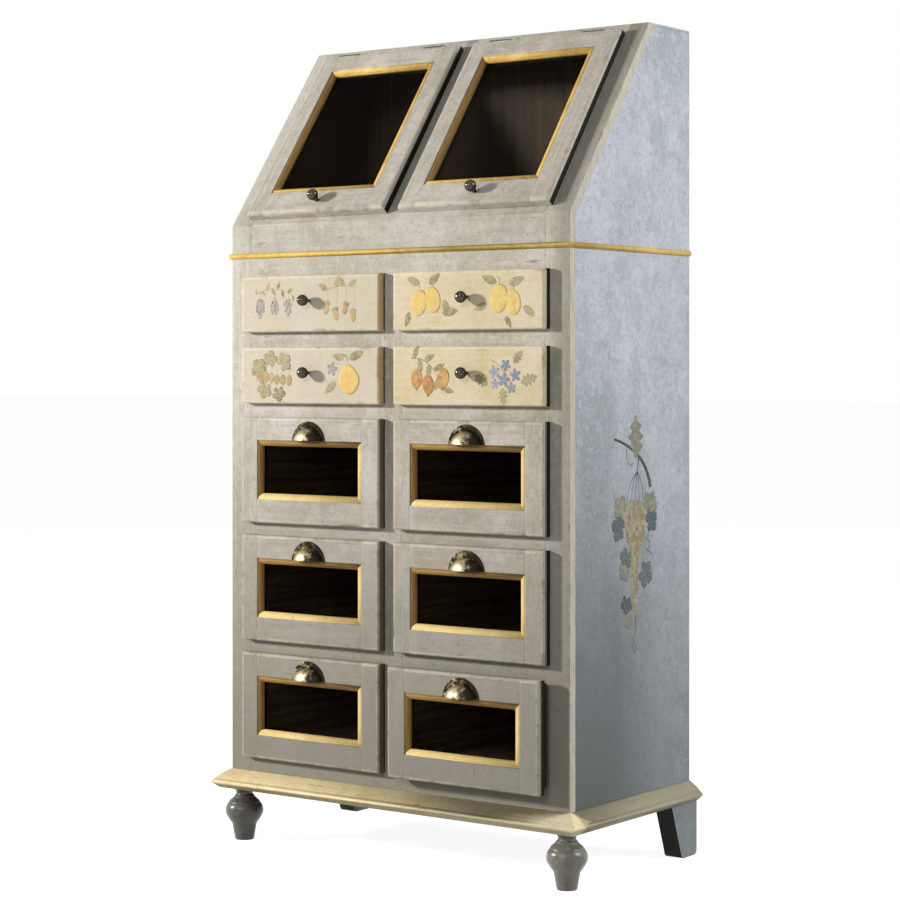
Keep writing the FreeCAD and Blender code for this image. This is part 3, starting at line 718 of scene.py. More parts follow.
@dataclass(frozen=True)
class Relief:
    """A low closed form over an outline, one unit proud, with its back sunk in the board."""

    outline: Outline
    ribbed: bool = False
    shares: tuple[float, ...] = (1.0, 1.0, 0.82, 0.45, 0.0)
    sunk: float = -0.25

    def build(self, name: str) -> bpy.types.Object:
        """Build the form with its rim marked.

        Args:
            name: The object's name.

        Returns:
            The object, linked to nothing.
        """
        crown = 0.65 if self.ribbed else 1.0
        heights = (self.sunk, 0.0, 0.6, 0.95, crown)
        rims = (1.0, 1.0, 0.45, 0.0, 0.7 if self.ribbed else 0.0)
        keep = 0.9 if self.ribbed else 0.0
        middle = 0.5 if self.ribbed else sum(high for _, high in self.outline) / len(self.outline)
        part = bmesh.new()
        layer = part.verts.layers.float.new("rim")
        rings = []
        for share, height, rim in zip(self.shares, heights, rims):
            ring = []
            for across, high in self.outline:
                drawn = middle + (high - middle) * (share + (1 - share) * keep)
                made = part.verts.new((across * share, -height, drawn))
                made[layer] = rim
                ring.append(made)
            rings.append(ring)
        count = len(self.outline)
        for lower, upper in zip(rings, rings[1:]):
            for index in range(count):
                following = (index + 1) % count
                part.faces.new([lower[index], lower[following], upper[following], upper[index]])
        part.faces.new(rings[0][::-1])
        bmesh.ops.remove_doubles(part, verts=part.verts, dist=1e-5)
        bmesh.ops.recalc_face_normals(part, faces=part.faces)
        for face in part.faces:
            face.smooth = True
        data = bpy.data.meshes.new(name)
        part.to_mesh(data)
        part.free()
        return bpy.data.objects.new(name, data)


class Scatter(Tree):
    """A Geometry Nodes tree that sets small shapes on marks."""

    RELIEFS: dict[Shape, Relief] = {
        Shape.ACORN: Relief(oval(0.27, 0.50, 16)),
        Shape.ACORN_CUP: Relief(oval(0.34, 0.20, 14, 0.34)),
        Shape.BERRY: Relief(oval(0.50, 0.50, 12)),
        Shape.FLOWER: Relief(petalled(5, 0.55, 40)),
        Shape.IVY_LEAF: Relief(lobed_leaf(60)),
        Shape.LEAF: Relief(bladed(0.22, 9), ribbed=True),
        Shape.NAIL: Relief(oval(0.50, 0.50, 12)),
        Shape.OAK_LEAF: Relief(bladed(0.34, 20, 4, 0.50), ribbed=True),
        Shape.PLUM: Relief(oval(0.36, 0.50, 16)),
        Shape.QUINCE: Relief([(x * (1 - 0.30 * max(0.0, z) / 0.5), z) for x, z in oval(0.44, 0.50, 28)]),
    }

    def __init__(self) -> None:
        """Build the shapes and the tree."""
        self.shapes = bpy.data.collections.new("small_shapes")
        self.order = sorted(self.RELIEFS, key=lambda shape: shape.value)
        for number, shape in enumerate(self.order):
            self.shapes.objects.link(self.RELIEFS[shape].build(f"shape_{number:02d}_{shape.value}"))
        super().__init__(bpy.data.node_groups.new("scattered_shapes", "GeometryNodeTree"), "")
        self.sockets: dict[str, str] = {}
        for name, kind in (("Points", "Geometry"), ("Shapes", "Collection"), ("Proud", "Float"),
                           ("Size Spread", "Float"), ("Seed", "Int"), ("Finish", "Material")):
            made = self.tree.interface.new_socket(name=name, in_out="INPUT", socket_type=f"NodeSocket{kind}")
            self.sockets[name] = made.identifier
        self.tree.interface.new_socket(name="Pieces", in_out="OUTPUT", socket_type="NodeSocketGeometry")
        self.connect()

    def read(self, name: str, kind: str) -> bpy.types.NodeSocket:
        """Read a mark's own value."""
        made = self.node("GeometryNodeInputNamedAttribute", {"data_type": kind}, Name=name)
        return next(socket for socket in made.outputs if socket.enabled and socket.name == "Attribute")

    def draw(self, low: object, high: object, seed: object) -> bpy.types.NodeSocket:
        """Draw a random number for each mark."""
        made = self.node("FunctionNodeRandomValue", {"data_type": "FLOAT"}, Min=low, Max=high, Seed=seed)
        return next(socket for socket in made.outputs if socket.enabled)

    def connect(self) -> None:
        """Connect the tree: marks to shapes, sized, turned, toned, realized and given their finish."""
        given = self.node("NodeGroupInput").outputs
        shapes = self.node("GeometryNodeCollectionInfo", None, Collection=given["Shapes"], Separate_Children=True,
                           Reset_Children=True)
        low = self.math("SUBTRACT", 1.0, given["Size Spread"])
        high = self.math("ADD", 1.0, given["Size Spread"])
        size = self.math("MULTIPLY", self.read("size", "FLOAT"), self.draw(low, high, given["Seed"]))
        scale = self.node("ShaderNodeCombineXYZ", None, X=size, Y=given["Proud"], Z=size)
        turn = self.node("FunctionNodeEulerToRotation", None, Euler=self.read("turn", "FLOAT_VECTOR"))
        placed = self.node("GeometryNodeInstanceOnPoints", None, Points=given["Points"], Instance=shapes.outputs[0],
                           Pick_Instance=True, Instance_Index=self.read("shape", "INT"),
                           Rotation=turn.outputs[0], Scale=scale.outputs[0])
        tone = self.draw(0.0, 1.0, self.math("ADD", given["Seed"], 1.0))
        toned = self.node("GeometryNodeStoreNamedAttribute", {"data_type": "FLOAT", "domain": "INSTANCE"},
                          Geometry=placed.outputs[0], Name="tone", Value=tone)
        real = self.node("GeometryNodeRealizeInstances", None, Geometry=toned.outputs[0])
        dressed = self.node("GeometryNodeSetMaterial", None, Geometry=real.outputs[0], Material=given["Finish"])
        self.node("NodeGroupOutput", None, Pieces=dressed.outputs[0])

    def build(self, name: str, body: str, marks: Sequence[Mark], place: Matrix, finish: bpy.types.Material,
              slot: str, proud: float, spread: float = 0.0, seed: int = 0) -> bpy.types.Object:
        """Set shapes on marks and make one piece of them.

        Args:
            name: The piece's name.
            body: The CAD body it moves with.
            marks: The places.
            place: The board's plane, X to the right, Z up and -Y outwards.
            finish: The material.
            slot: The record's material slot; not used.
            proud: How far a shape stands out.
            spread: How far the sizes vary, as a share.
            seed: The seed of the sizes and tones.

        Returns:
            The finished piece.
        """
        points = bpy.data.meshes.new(f"{name}_marks")
        points.from_pydata([place @ Vector((mark.x, 0.0, mark.z)) for mark in marks], [], [])
        board = place.to_3x3()
        turns = [(board @ Matrix.Rotation(mark.turn, 3, "Y")).to_euler() for mark in marks]
        self.write(points, "turn", "FLOAT_VECTOR", "vector", [angle for turn in turns for angle in turn])
        self.write(points, "size", "FLOAT", "value", [mark.size for mark in marks])
        self.write(points, "shape", "INT", "value", [self.order.index(mark.shape) for mark in marks])
        carrier = bpy.data.objects.new(f"{name}_carrier", points)
        bpy.context.scene.collection.objects.link(carrier)
        modifier = carrier.modifiers.new("scatter", "NODES")
        modifier.node_group = self.tree
        values = {"Shapes": self.shapes, "Proud": proud, "Size Spread": spread, "Seed": seed, "Finish": finish}
        for key, value in values.items():
            modifier[self.sockets[key]] = value
        graph = bpy.context.evaluated_depsgraph_get()
        data = bpy.data.meshes.new_from_object(carrier.evaluated_get(graph), depsgraph=graph)
        carrier.modifiers.remove(modifier)
        bpy.data.objects.remove(carrier)
        data.name = name
        made = bpy.data.objects.new(name, data)
        bpy.context.scene.collection.objects.link(made)
        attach(made, body)
        LOG.info("%s: %d shapes, %d faces on %s", name, len(marks), len(data.polygons), body)
        return made

    @staticmethod
    def write(points: bpy.types.Mesh, name: str, kind: str, key: str, values: Sequence[float]) -> None:
        """Give the marks one value each.

        Args:
            points: The mesh of the marks.
            name: The value's name.
            kind: Its data type.
            key: The property that holds it.
            values: The values, one after the other.
        """
        points.attributes.new(name, kind, "POINT").data.foreach_set(key, values)

    def clear(self) -> None:
        """Remove the loose shapes, which are part of nothing."""
        for shape in list(self.shapes.objects):
            bpy.data.objects.remove(shape)
        bpy.data.collections.remove(self.shapes)


@dataclass
class Finishes:
    """All the finishes of the cupboard, and the tree that sets its small shapes, made once."""

    grey: bpy.types.Material = field(init=False)
    blue: bpy.types.Material = field(init=False)
    cream: bpy.types.Material = field(init=False)
    moulding_cream: bpy.types.Material = field(init=False)
    ochre: bpy.types.Material = field(init=False)
    foot: bpy.types.Material = field(init=False)
    wood: bpy.types.Material = field(init=False)
    back_wood: bpy.types.Material = field(init=False)
    inner_wood: bpy.types.Material = field(init=False)
    brass: bpy.types.Material = field(init=False)
    bronze: bpy.types.Material = field(init=False)
    hinge: bpy.types.Material = field(init=False)
    glass: bpy.types.Material = field(init=False)
    sprays: dict[Tint, bpy.types.Material] = field(init=False)
    scatter: Scatter = field(init=False)

    def __post_init__(self) -> None:
        """Build every material."""
        self.scatter = Scatter()
        # The darker tones that the grey and the blue paint drift to, as painted shade.
        painted_shade, shadow = (0.235, 0.225, 0.185), (0.105, 0.122, 0.115)
        self.grey = AgedPaint(
            "grey_paint", base=(0.51, 0.475, 0.41), cloud_light=(0.65, 0.615, 0.58), cloud_dark=(0.37, 0.355, 0.27),
            patch=(0.47, 0.475, 0.49), patch_amount=0.55, shades=(
                # Painted shade, darker towards the bottom.
                Shade(Axis.Z, 1.15, 0.15, 0.88, painted_shade),
                # Painted shade, darker across the right stile.
                Shade(Axis.X, 0.400, 0.440, 0.55, painted_shade),
                # Painted light on the upper left stile.
                Shade(Axis.X, -0.405, -0.447, 0.44, (0.65, 0.615, 0.58), ((Axis.Z, 0.75, 1.20),)),
                # Painted shade, a little darker over the fascia.
                Shade(Axis.Z, 1.285, 1.305, 0.16, painted_shade, ((Axis.Z, 1.42, 1.37),)),
                # Painted shadow of the left flap on the mullion beside it.
                Shade(Axis.X, -0.0195, -0.0180, 0.60, painted_shade, ((Axis.X, 0.016, 0.006), (Axis.Z, 1.37, 1.40))),
                # Painted shadow of the right flap on the stile beside it.
                Shade(Axis.X, 0.4030, 0.4045, 0.60, painted_shade, ((Axis.X, 0.445, 0.428), (Axis.Z, 1.37, 1.40))),
            ),
        ).make()
        self.blue = AgedPaint(
            "blue_grey_paint", base=(0.53, 0.55, 0.59), cloud_light=(0.65, 0.655, 0.71), cloud_dark=(0.38, 0.42, 0.43),
            patch=(0.56, 0.54, 0.52), patch_amount=0.45, streak_amount=0.10, mottle_amount=0.75, rub=(0.60, 0.58, 0.52),
            brown=(0.055, 0.030, 0.014),
            shades=(
                # Painted shade: darker towards the bottom, most at the front.
                Shade(Axis.Z, 1.15, 0.05, 0.57, shadow),
                Shade(Axis.Z, 1.15, 0.05, 0.92, shadow, ((Axis.Y, 0.26, -0.10),)),
            ),
        ).make()
        self.cream = AgedPaint(
            "cream_paint", base=(0.67, 0.575, 0.385), cloud_light=(0.73, 0.65, 0.49), cloud_dark=(0.61, 0.50, 0.27),
            fleck=(0.42, 0.31, 0.17), fleck_share=0.32, rub=(0.80, 0.74, 0.60), rub_dark=(0.36, 0.26, 0.13),
            patch=(0.72, 0.61, 0.45), patch_amount=0.8, crack_amount=0.45, brown=(0.84, 0.59, 0.31),
            shades=(Shade(Axis.X, 0.01, -0.06, 0.5, (0.53, 0.505, 0.47)),),
        ).make()
        self.moulding_cream = AgedPaint(
            "base_cream_paint", base=(0.89, 0.75, 0.45), cloud_light=(0.93, 0.84, 0.56), cloud_dark=(0.77, 0.60, 0.31),
            fleck=(0.24, 0.15, 0.07), fleck_share=0.40, rub=(0.88, 0.80, 0.60), rub_dark=(0.36, 0.22, 0.10),
            # The shade is painted shade, darker on the side strips behind the front.
            crack_amount=0.65, shades=(Shade(Axis.Y, -0.202, -0.185, 0.80, (0.37, 0.335, 0.24)),),
        ).make()
        self.ochre = AgedPaint(
            "ochre_paint", base=(0.72, 0.48, 0.13), cloud_light=(0.83, 0.62, 0.23), cloud_dark=(0.52, 0.29, 0.05),
            fleck=(0.16, 0.08, 0.03), fleck_share=0.30, rub=(0.86, 0.72, 0.36), rub_dark=(0.20, 0.09, 0.03),
            # Its brown is the painted shade of the window mouldings' left and top strips.
            rub_reach=0.85, brown=(0.42, 0.25, 0.08), shades=(Shade(Axis.Z, 1.20, 0.95, 0.42, (0.86, 0.71, 0.40)),),
        ).make()
        self.foot = AgedPaint(
            "foot_paint", base=(0.14, 0.14, 0.12), cloud_light=(0.26, 0.26, 0.22), cloud_dark=(0.050, 0.053, 0.044),
            shades=(Shade(Axis.Z, 0.12, 0.0, 0.5, (0.12, 0.105, 0.075)), Shade(Axis.X, 0.1, -0.3, 0.5, (0.06, 0.06, 0.055))),
            fleck_share=0.3,
            rub=(0.34, 0.32, 0.26), rub_dark=(0.12, 0.06, 0.02), roughness=0.30, gloss=0.45,
        ).make()
        self.wood = StainedWood("bare_wood", (0.15, 0.09, 0.045), (0.065, 0.036, 0.018), (0.03, 0.016, 0.008)).make()
        self.back_wood = StainedWood("back_wood", (0.050, 0.027, 0.012), (0.022, 0.012, 0.006), (0.012, 0.007, 0.004)).make()
        self.inner_wood = StainedWood(
            "dark_inner_wood", (0.085, 0.05, 0.025), (0.035, 0.020, 0.010), (0.018, 0.010, 0.006)
        ).make()
        self.brass = AgedMetal("aged_brass", (0.43, 0.365, 0.225), (0.024, 0.019, 0.012), 0.10, 0.42, 0.31).make()
        self.bronze = AgedMetal("dark_bronze", (0.070, 0.061, 0.044), (0.012, 0.010, 0.008), 0.35, 0.65, 0.06).make()
        self.hinge = AgedMetal(
            "painted_hinge", (0.40, 0.38, 0.33), (0.16, 0.14, 0.11), 0.50, 0.75, 0.42, scale=150.0
        ).make()
        self.glass = WindowGlass("window_glass").make()
        cream, side = (0.67, 0.59, 0.42), (0.36, 0.385, 0.40)
        palette: dict[Tint, tuple] = {
            Tint.OLIVE: ((0.41, 0.36, 0.21), (0.19, 0.175, 0.11), (0.47, 0.39, 0.20), (0.13, 0.115, 0.07), cream),
            Tint.VIOLET: ((0.44, 0.41, 0.40), (0.19, 0.17, 0.18), (0.34, 0.33, 0.36), (0.09, 0.075, 0.08), cream, 0.8),
            Tint.BROWN: ((0.58, 0.42, 0.20), (0.36, 0.24, 0.10), (0.46, 0.34, 0.16), (0.22, 0.15, 0.06), cream),
            Tint.YELLOW: ((0.82, 0.66, 0.24), (0.76, 0.53, 0.15), (0.74, 0.46, 0.16), (0.55, 0.42, 0.17), cream, 0.4, 0.35),
            Tint.ORANGE: ((0.70, 0.44, 0.14), (0.47, 0.21, 0.06), (0.40, 0.17, 0.06), (0.30, 0.15, 0.06), cream, 0.4, 0.35),
            Tint.BLUE: ((0.38, 0.44, 0.54), (0.12, 0.16, 0.25), (0.22, 0.28, 0.40), (0.07, 0.09, 0.14), cream, 0.6, 0.5),
            Tint.TWIG: ((0.22, 0.18, 0.10), (0.11, 0.09, 0.05), (0.16, 0.12, 0.06), (0.07, 0.05, 0.03), cream),
            Tint.SIDE_OLIVE: ((0.31, 0.31, 0.21), (0.14, 0.15, 0.12), (0.38, 0.35, 0.19), (0.06, 0.065, 0.055), side),
            Tint.SIDE_DARK: ((0.16, 0.18, 0.18), (0.055, 0.065, 0.07), (0.10, 0.11, 0.12), (0.025, 0.03, 0.03), side),
            Tint.SIDE_GOLD: ((0.53, 0.46, 0.24), (0.22, 0.165, 0.08), (0.40, 0.25, 0.14), (0.07, 0.055, 0.03), side, 0.85, 0.4),
            Tint.SIDE_TWIG: ((0.08, 0.065, 0.04), (0.03, 0.025, 0.015), (0.05, 0.04, 0.02), (0.02, 0.015, 0.01), side, 0.3),
        }
        self.sprays = {tint: MotifPaint(f"spray_{tint.value}", *colours).make() for tint, colours in palette.items()}


# Shapes


@dataclass(frozen=True)
class Stand:
    """A piece's own frame: upright, or leaned back about X like the flaps."""

    lean: float = 0.0

    @property
    def matrix(self) -> Matrix:
        """The turn from the piece's own frame to the shared one."""
        return Matrix.Rotation(-self.lean, 4, "X")

    def box(self, node: str) -> tuple[Vector, Vector]:
        """A CAD node's lowest and highest corner in this frame.

        Args:
            node: The node's name.

        Returns:
            The two corners.
        """
        back = self.matrix.inverted()
        places = [back @ vertex.co for vertex in bpy.data.objects[node].data.vertices]
        low = Vector([min(place[axis] for place in places) for axis in range(3)])
        high = Vector([max(place[axis] for place in places) for axis in range(3)])
        return low, high

    @classmethod
    def of_slope(cls, node: str) -> "Stand":
        """The frame in which a leaned node stands upright.

        Args:
            node: A node whose largest face looks out of the slope.

        Returns:
            The leaned frame.
        """
        outward = [face for face in bpy.data.objects[node].data.polygons if face.normal.y < 0 < face.normal.z]
        largest = max(outward, key=lambda face: face.area)
        return cls(math.atan2(largest.normal.z, -largest.normal.y))


@dataclass(frozen=True)
class Solid:
    """One closed solid of a node, as corner points and triangles."""

    points: list[Vector]
    faces: list[tuple[int, ...]]

    def box(self) -> tuple[Vector, Vector]:
        """The lowest and highest corner of the solid."""
        low = Vector([min(point[axis] for point in self.points) for axis in range(3)])
        high = Vector([max(point[axis] for point in self.points) for axis in range(3)])
        return low, high


def solids_of(node: str, stand: Stand) -> list[Solid]:
    """Split a CAD node's loose triangles into its closed solids.

    A solid's triangles follow each other, so it ends where no edge is left open.

    Args:
        node: The node's name.
        stand: The frame that the points are given in.

    Returns:
        The solids, in the node's order.
    """
    merge = 0.01 * MM
    back = stand.matrix.inverted()
    mesh = bpy.data.objects[node].data
    found: list[Solid] = []
    index: dict[tuple[int, ...], int] = {}
    points: list[Vector] = []
    faces: list[tuple[int, ...]] = []
    open_edges: set[tuple[int, int]] = set()
    for polygon in mesh.polygons:
        corners = []
        for vertex in polygon.vertices:
            place = mesh.vertices[vertex].co
            key = tuple(round(value / merge) for value in place)
            if key not in index:
                index[key] = len(points)
                points.append(back @ place)
            corners.append(index[key])
        if len(set(corners)) < len(corners):
            continue
        faces.append(tuple(corners))
        for edge in zip(corners, corners[1:] + corners[:1]):
            if edge[::-1] in open_edges:
                open_edges.remove(edge[::-1])
            else:
                open_edges.add(edge)
        if not open_edges:
            found.append(Solid(points, faces))
            index, points, faces = {}, [], []
    return found


EdgeRadius = Callable[[Vector, Vector], float]
FaceMark = Callable[[Vector, Vector], FaceTone]
EdgeWear = Callable[[Vector], float]


@dataclass
class Joiner:
    """Gathers the boards, strips and turnings of one piece into one mesh."""

    name: str
    stand: Stand = Stand()
    ease: float = 0.7 * MM
    rim: float = 4.0 * MM
    seed: int = 1
    mesh: bmesh.types.BMesh = field(init=False)

    def __post_init__(self) -> None:
        """Start an empty mesh with the attributes that the finishes read."""
        self.mesh = bmesh.new()
        # This attribute also carries the cup pulls' painted reflection, and less pale rub on the fronts' right edges as
        # painted shade.
        self.wear = self.mesh.verts.layers.float.new("wear")
        self.grain = self.mesh.verts.layers.float_vector.new("grain")
        self.wear_and_shade_tone = self.mesh.faces.layers.float.new("wear_and_shade_tone")
        self.random = random.Random(self.seed)

    def add(self, part: bmesh.types.BMesh, wear: dict[int, float], along: Axis | None = None,
            mark: FaceMark | None = None) -> None:
        """Take over a finished part and set its attributes.

        Args:
            part: The part, which is freed.
            wear: The wear of its vertices by index, 1 where not given.
            along: The direction of its grain, its longest by default.
            mark: Gives a face's tone from its normal and centre, painted by default.
        """
        part.verts.index_update()
        low = Vector([min(vertex.co[axis] for vertex in part.verts) for axis in range(3)])
        high = Vector([max(vertex.co[axis] for vertex in part.verts) for axis in range(3)])
        size = high - low
        longest = along.value if along else max(range(3), key=lambda axis: size[axis])
        order = [longest] + [axis for axis in range(3) if axis != longest]
        shift = Vector([self.random.uniform(0, 20) for _ in range(3)])
        new = []
        for vertex in part.verts:
            made = self.mesh.verts.new(self.stand.matrix @ vertex.co)
            made[self.wear] = wear.get(vertex.index, 1.0)
            made[self.grain] = Vector([vertex.co[axis] for axis in order]) + shift
            new.append(made)
        part.normal_update()
        for face in part.faces:
            made = self.mesh.faces.new([new[vertex.index] for vertex in face.verts])
            made.smooth = True
            if mark is not None:
                made[self.wear_and_shade_tone] = mark(face.normal, face.calc_center_median()).value
        part.free()

    def board(self, solid: Solid, radius: EdgeRadius | None = None, mark: FaceMark | None = None,
              worn: EdgeWear | None = None) -> None:
        """Add a solid with flat faces, its edges eased and its flats given a rim.

        Args:
            solid: The solid.
            radius: Gives the rounding of an edge from its two ends, 0 where it is only eased.
            mark: Gives a face's tone from its normal and centre.
            worn: Gives the wear of an edge from its place, 1 by default.
        """
        part = bmesh.new()
        points = [part.verts.new(point) for point in solid.points]
        for face in solid.faces:
            part.faces.new([points[corner] for corner in face])
        part.normal_update()
        bmesh.ops.dissolve_limit(part, angle_limit=math.radians(1), verts=part.verts, edges=part.edges)
        if radius is not None:
            wanted: dict[float, list[bmesh.types.BMEdge]] = {}
            for edge in part.edges:
                size = radius(edge.verts[0].co, edge.verts[1].co)
                if size > 0:
                    wanted.setdefault(size, []).append(edge)
            for size, edges in wanted.items():
                bmesh.ops.bevel(part, geom=edges, offset=size, offset_type="OFFSET", segments=6, profile=0.5,
                                affect="EDGES", clamp_overlap=True)
        sharp = [edge for edge in part.edges if len(edge.link_faces) == 2 and edge.calc_face_angle() > math.radians(30)]
        bmesh.ops.bevel(part, geom=sharp, offset=self.ease, offset_type="OFFSET", segments=2, profile=0.5,
                        affect="EDGES", clamp_overlap=True)
        bmesh.ops.dissolve_degenerate(part, dist=MM / 1000, edges=part.edges)
        wear = self.rims(part)
        if worn is not None:
            wear = {vertex.index: wear.get(vertex.index, worn(vertex.co)) for vertex in part.verts}
        self.add(part, wear, None, mark)

    def rims(self, part: bmesh.types.BMesh) -> dict[int, float]:
        """Inset each flat so that the wear fades within a narrow rim.

        Args:
            part: The part with its edges already eased.

        Returns:
            The wear of the vertices inside the rims, by index.
        """
        inner: list[bmesh.types.BMVert] = []
        for face in list(part.faces):
            if face.calc_area() < (6 * MM) ** 2:
                continue
            width = min(self.rim, 0.3 * face.calc_area() / max(edge.calc_length() for edge in face.edges))
            if width < 1 * MM:
                continue
            bmesh.ops.inset_individual(part, faces=[face], thickness=width, use_even_offset=True)
            inner.extend(face.verts)
        part.verts.index_update()
        return {vertex.index: 0.0 for vertex in inner}

    def node(self, node: str, radius: EdgeRadius | None = None, mark: FaceMark | None = None,
             worn: EdgeWear | None = None, keep: Callable[[Solid], bool] | None = None) -> None:
        """Add the flat-faced solids of a CAD node.

        Args:
            node: The node's name.
            radius: Gives the rounding of an edge from its two ends.
            mark: Gives a face's tone from its normal and centre.
            worn: Gives the wear of an edge from its place.
            keep: Tells which solids are wanted, all by default.
        """
        for solid in solids_of(node, self.stand):
            if keep is None or keep(solid):
                self.board(solid, radius, mark, worn)

    def strip(self, outline: Outline, start: Vector, end: Vector, out: Vector, up: Vector,
              mitres: tuple[float, float] = (0.0, 0.0), wear: Sequence[float] | None = None,
              tone: FaceTone = FaceTone.PAINTED) -> None:
        """Add a moulding of one section between two points.

        Args:
            outline: The section as (outward, upward) points, anticlockwise seen against its run.
            start: Where the section's origin starts.
            end: Where it ends.
            out: The outward direction.
            up: The upward direction.
            mitres: How far each end lengthens per metre outward.
            wear: The wear of each point of the section.
            tone: The tone of its faces.
        """
        run = (end - start).normalized()
        part = bmesh.new()
        ends = []
        for origin, slant in ((start, -mitres[0]), (end, mitres[1])):
            ends.append([part.verts.new(origin + out * across + up * high + run * slant * across) for across, high in outline])
        count = len(outline)
        for index in range(count):
            following = (index + 1) % count
            part.faces.new([ends[0][index], ends[0][following], ends[1][following], ends[1][index]])
        part.faces.new(ends[0][::-1])
        part.faces.new(ends[1])
        bmesh.ops.recalc_face_normals(part, faces=part.faces)
        worn = wear or [0.3] * count
        part.verts.index_update()
        values = {side[index].index: worn[index] for side in ends for index in range(count)}
        longest = max(range(3), key=lambda axis: abs(run[axis]))
        self.add(part, values, Axis(longest), lambda normal, centre: tone)

    def turning(self, outline: Outline, base: Vector, axis: Vector, steps: int = 64,
                wear: Callable[[float], float] | None = None) -> None:
        """Add a turned solid.

        Args:
            outline: (radius, height) points from the base up; the first and last close the ends.
            base: The foot of the turning's axis.
            axis: Its direction.
            steps: The number of steps round.
            wear: Gives the wear from the height.
        """
        turn = axis.normalized().to_track_quat("Z", "Y").to_matrix()
        part = bmesh.new()
        rings = []
        values: dict[int, float] = {}
        for radius, height in outline:
            ring = []
            for step in range(steps):
                angle = 2 * math.pi * step / steps
                place = Vector((radius * math.cos(angle), radius * math.sin(angle), height))
                values[len(values)] = wear(height) if wear else 0.3
                ring.append(part.verts.new(base + turn @ place))
            rings.append(ring)
        for low, high in zip(rings, rings[1:]):
            for step in range(steps):
                following = (step + 1) % steps
                part.faces.new([low[step], low[following], high[following], high[step]])
        part.faces.new(rings[0][::-1])
        part.faces.new(rings[-1])
        self.add(part, values, Axis.Z)

    def finish(self, body: str, material: bpy.types.Material, slot: str, replaces: Sequence[str] = ()) -> bpy.types.Object:
        """Make the object, dress it and let it ride on its body.

        Args:
            body: The CAD body it moves with.
            material: Its finish.
            slot: The record's material slot; not used.
            replaces: The CAD nodes that it stands for.

        Returns:
            The finished object.
        """
        data = bpy.data.meshes.new(self.name)
        self.mesh.to_mesh(data)
        self.mesh.free()
        data.materials.append(material)
        made = bpy.data.objects.new(self.name, data)
        bpy.context.scene.collection.objects.link(made)
        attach(made, body)
        if replaces:
            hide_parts(*replaces)
        LOG.info("%s: %d faces on %s", self.name, len(data.polygons), body)
        return made


def arc(centre: tuple[float, float], radii: tuple[float, float], first: float, last: float, steps: int) -> list[tuple[float, float]]:
    """Points along an elliptical arc.

    Args:
        centre: The arc's centre.
        radii: Its two half axes.
        first: The first angle in degrees.
        last: The last angle in degrees.
        steps: The number of steps between them.

    Returns:
        The points, both ends included.
    """
    made = []
    for step in range(steps + 1):
        angle = math.radians(first + (last - first) * step / steps)
        made.append((centre[0] + radii[0] * math.cos(angle), centre[1] + radii[1] * math.sin(angle)))
    return made


def smooth(points: Outline, steps: int = 3) -> list[tuple[float, float]]:
    """A smooth line through a few points.

    Args:
        points: The points that the line passes through.
        steps: The number of steps between two of them.

    Returns:
        The line's points, both ends included.
    """
    made = []
    for index in range(len(points) - 1):
        before, first = points[max(index - 1, 0)], points[index]
        second, after = points[index + 1], points[min(index + 2, len(points) - 1)]
        for step in range(steps):
            t = step / steps
            place = []
            for axis in range(2):
                a, b, c, d = before[axis], first[axis], second[axis], after[axis]
                place.append(b + 0.5 * t * (c - a + t * (2 * a - 5 * b + 4 * c - d + t * (3 * (b - c) + d - a))))
            made.append((place[0], place[1]))
    made.append(points[-1])
    return made


def dress(node: str, material: bpy.types.Material) -> None:
    """Give a CAD node that keeps its own mesh a better finish.

    Args:
        node: The node's name.
        material: The finish.
    """
    data = bpy.data.objects[node].data
    for index in range(len(data.materials)):
        data.materials[index] = material
    LOG.info("%s dressed", node)


# Painted sprays


@dataclass(frozen=True)
class Bow:
    """A bent stem between two points of a board, in millimetres."""

    start: tuple[float, float]
    bend: tuple[float, float]
    end: tuple[float, float]
    width: float

    def at(self, share: float) -> tuple[float, float]:
        """The point at a share of the stem."""
        rest = 1 - share
        points = zip(self.start, self.bend, self.end)
        made = [rest * rest * a + 2 * rest * share * b + share * share * c for a, b, c in points]
        return made[0], made[1]

    def heading(self, share: float) -> float:
        """The stem's direction there, in radians clockwise from upward."""
        rest = 1 - share
        points = zip(self.start, self.bend, self.end)
        run = [rest * (b - a) + share * (c - b) for a, b, c in points]
        return math.atan2(run[0], run[1])


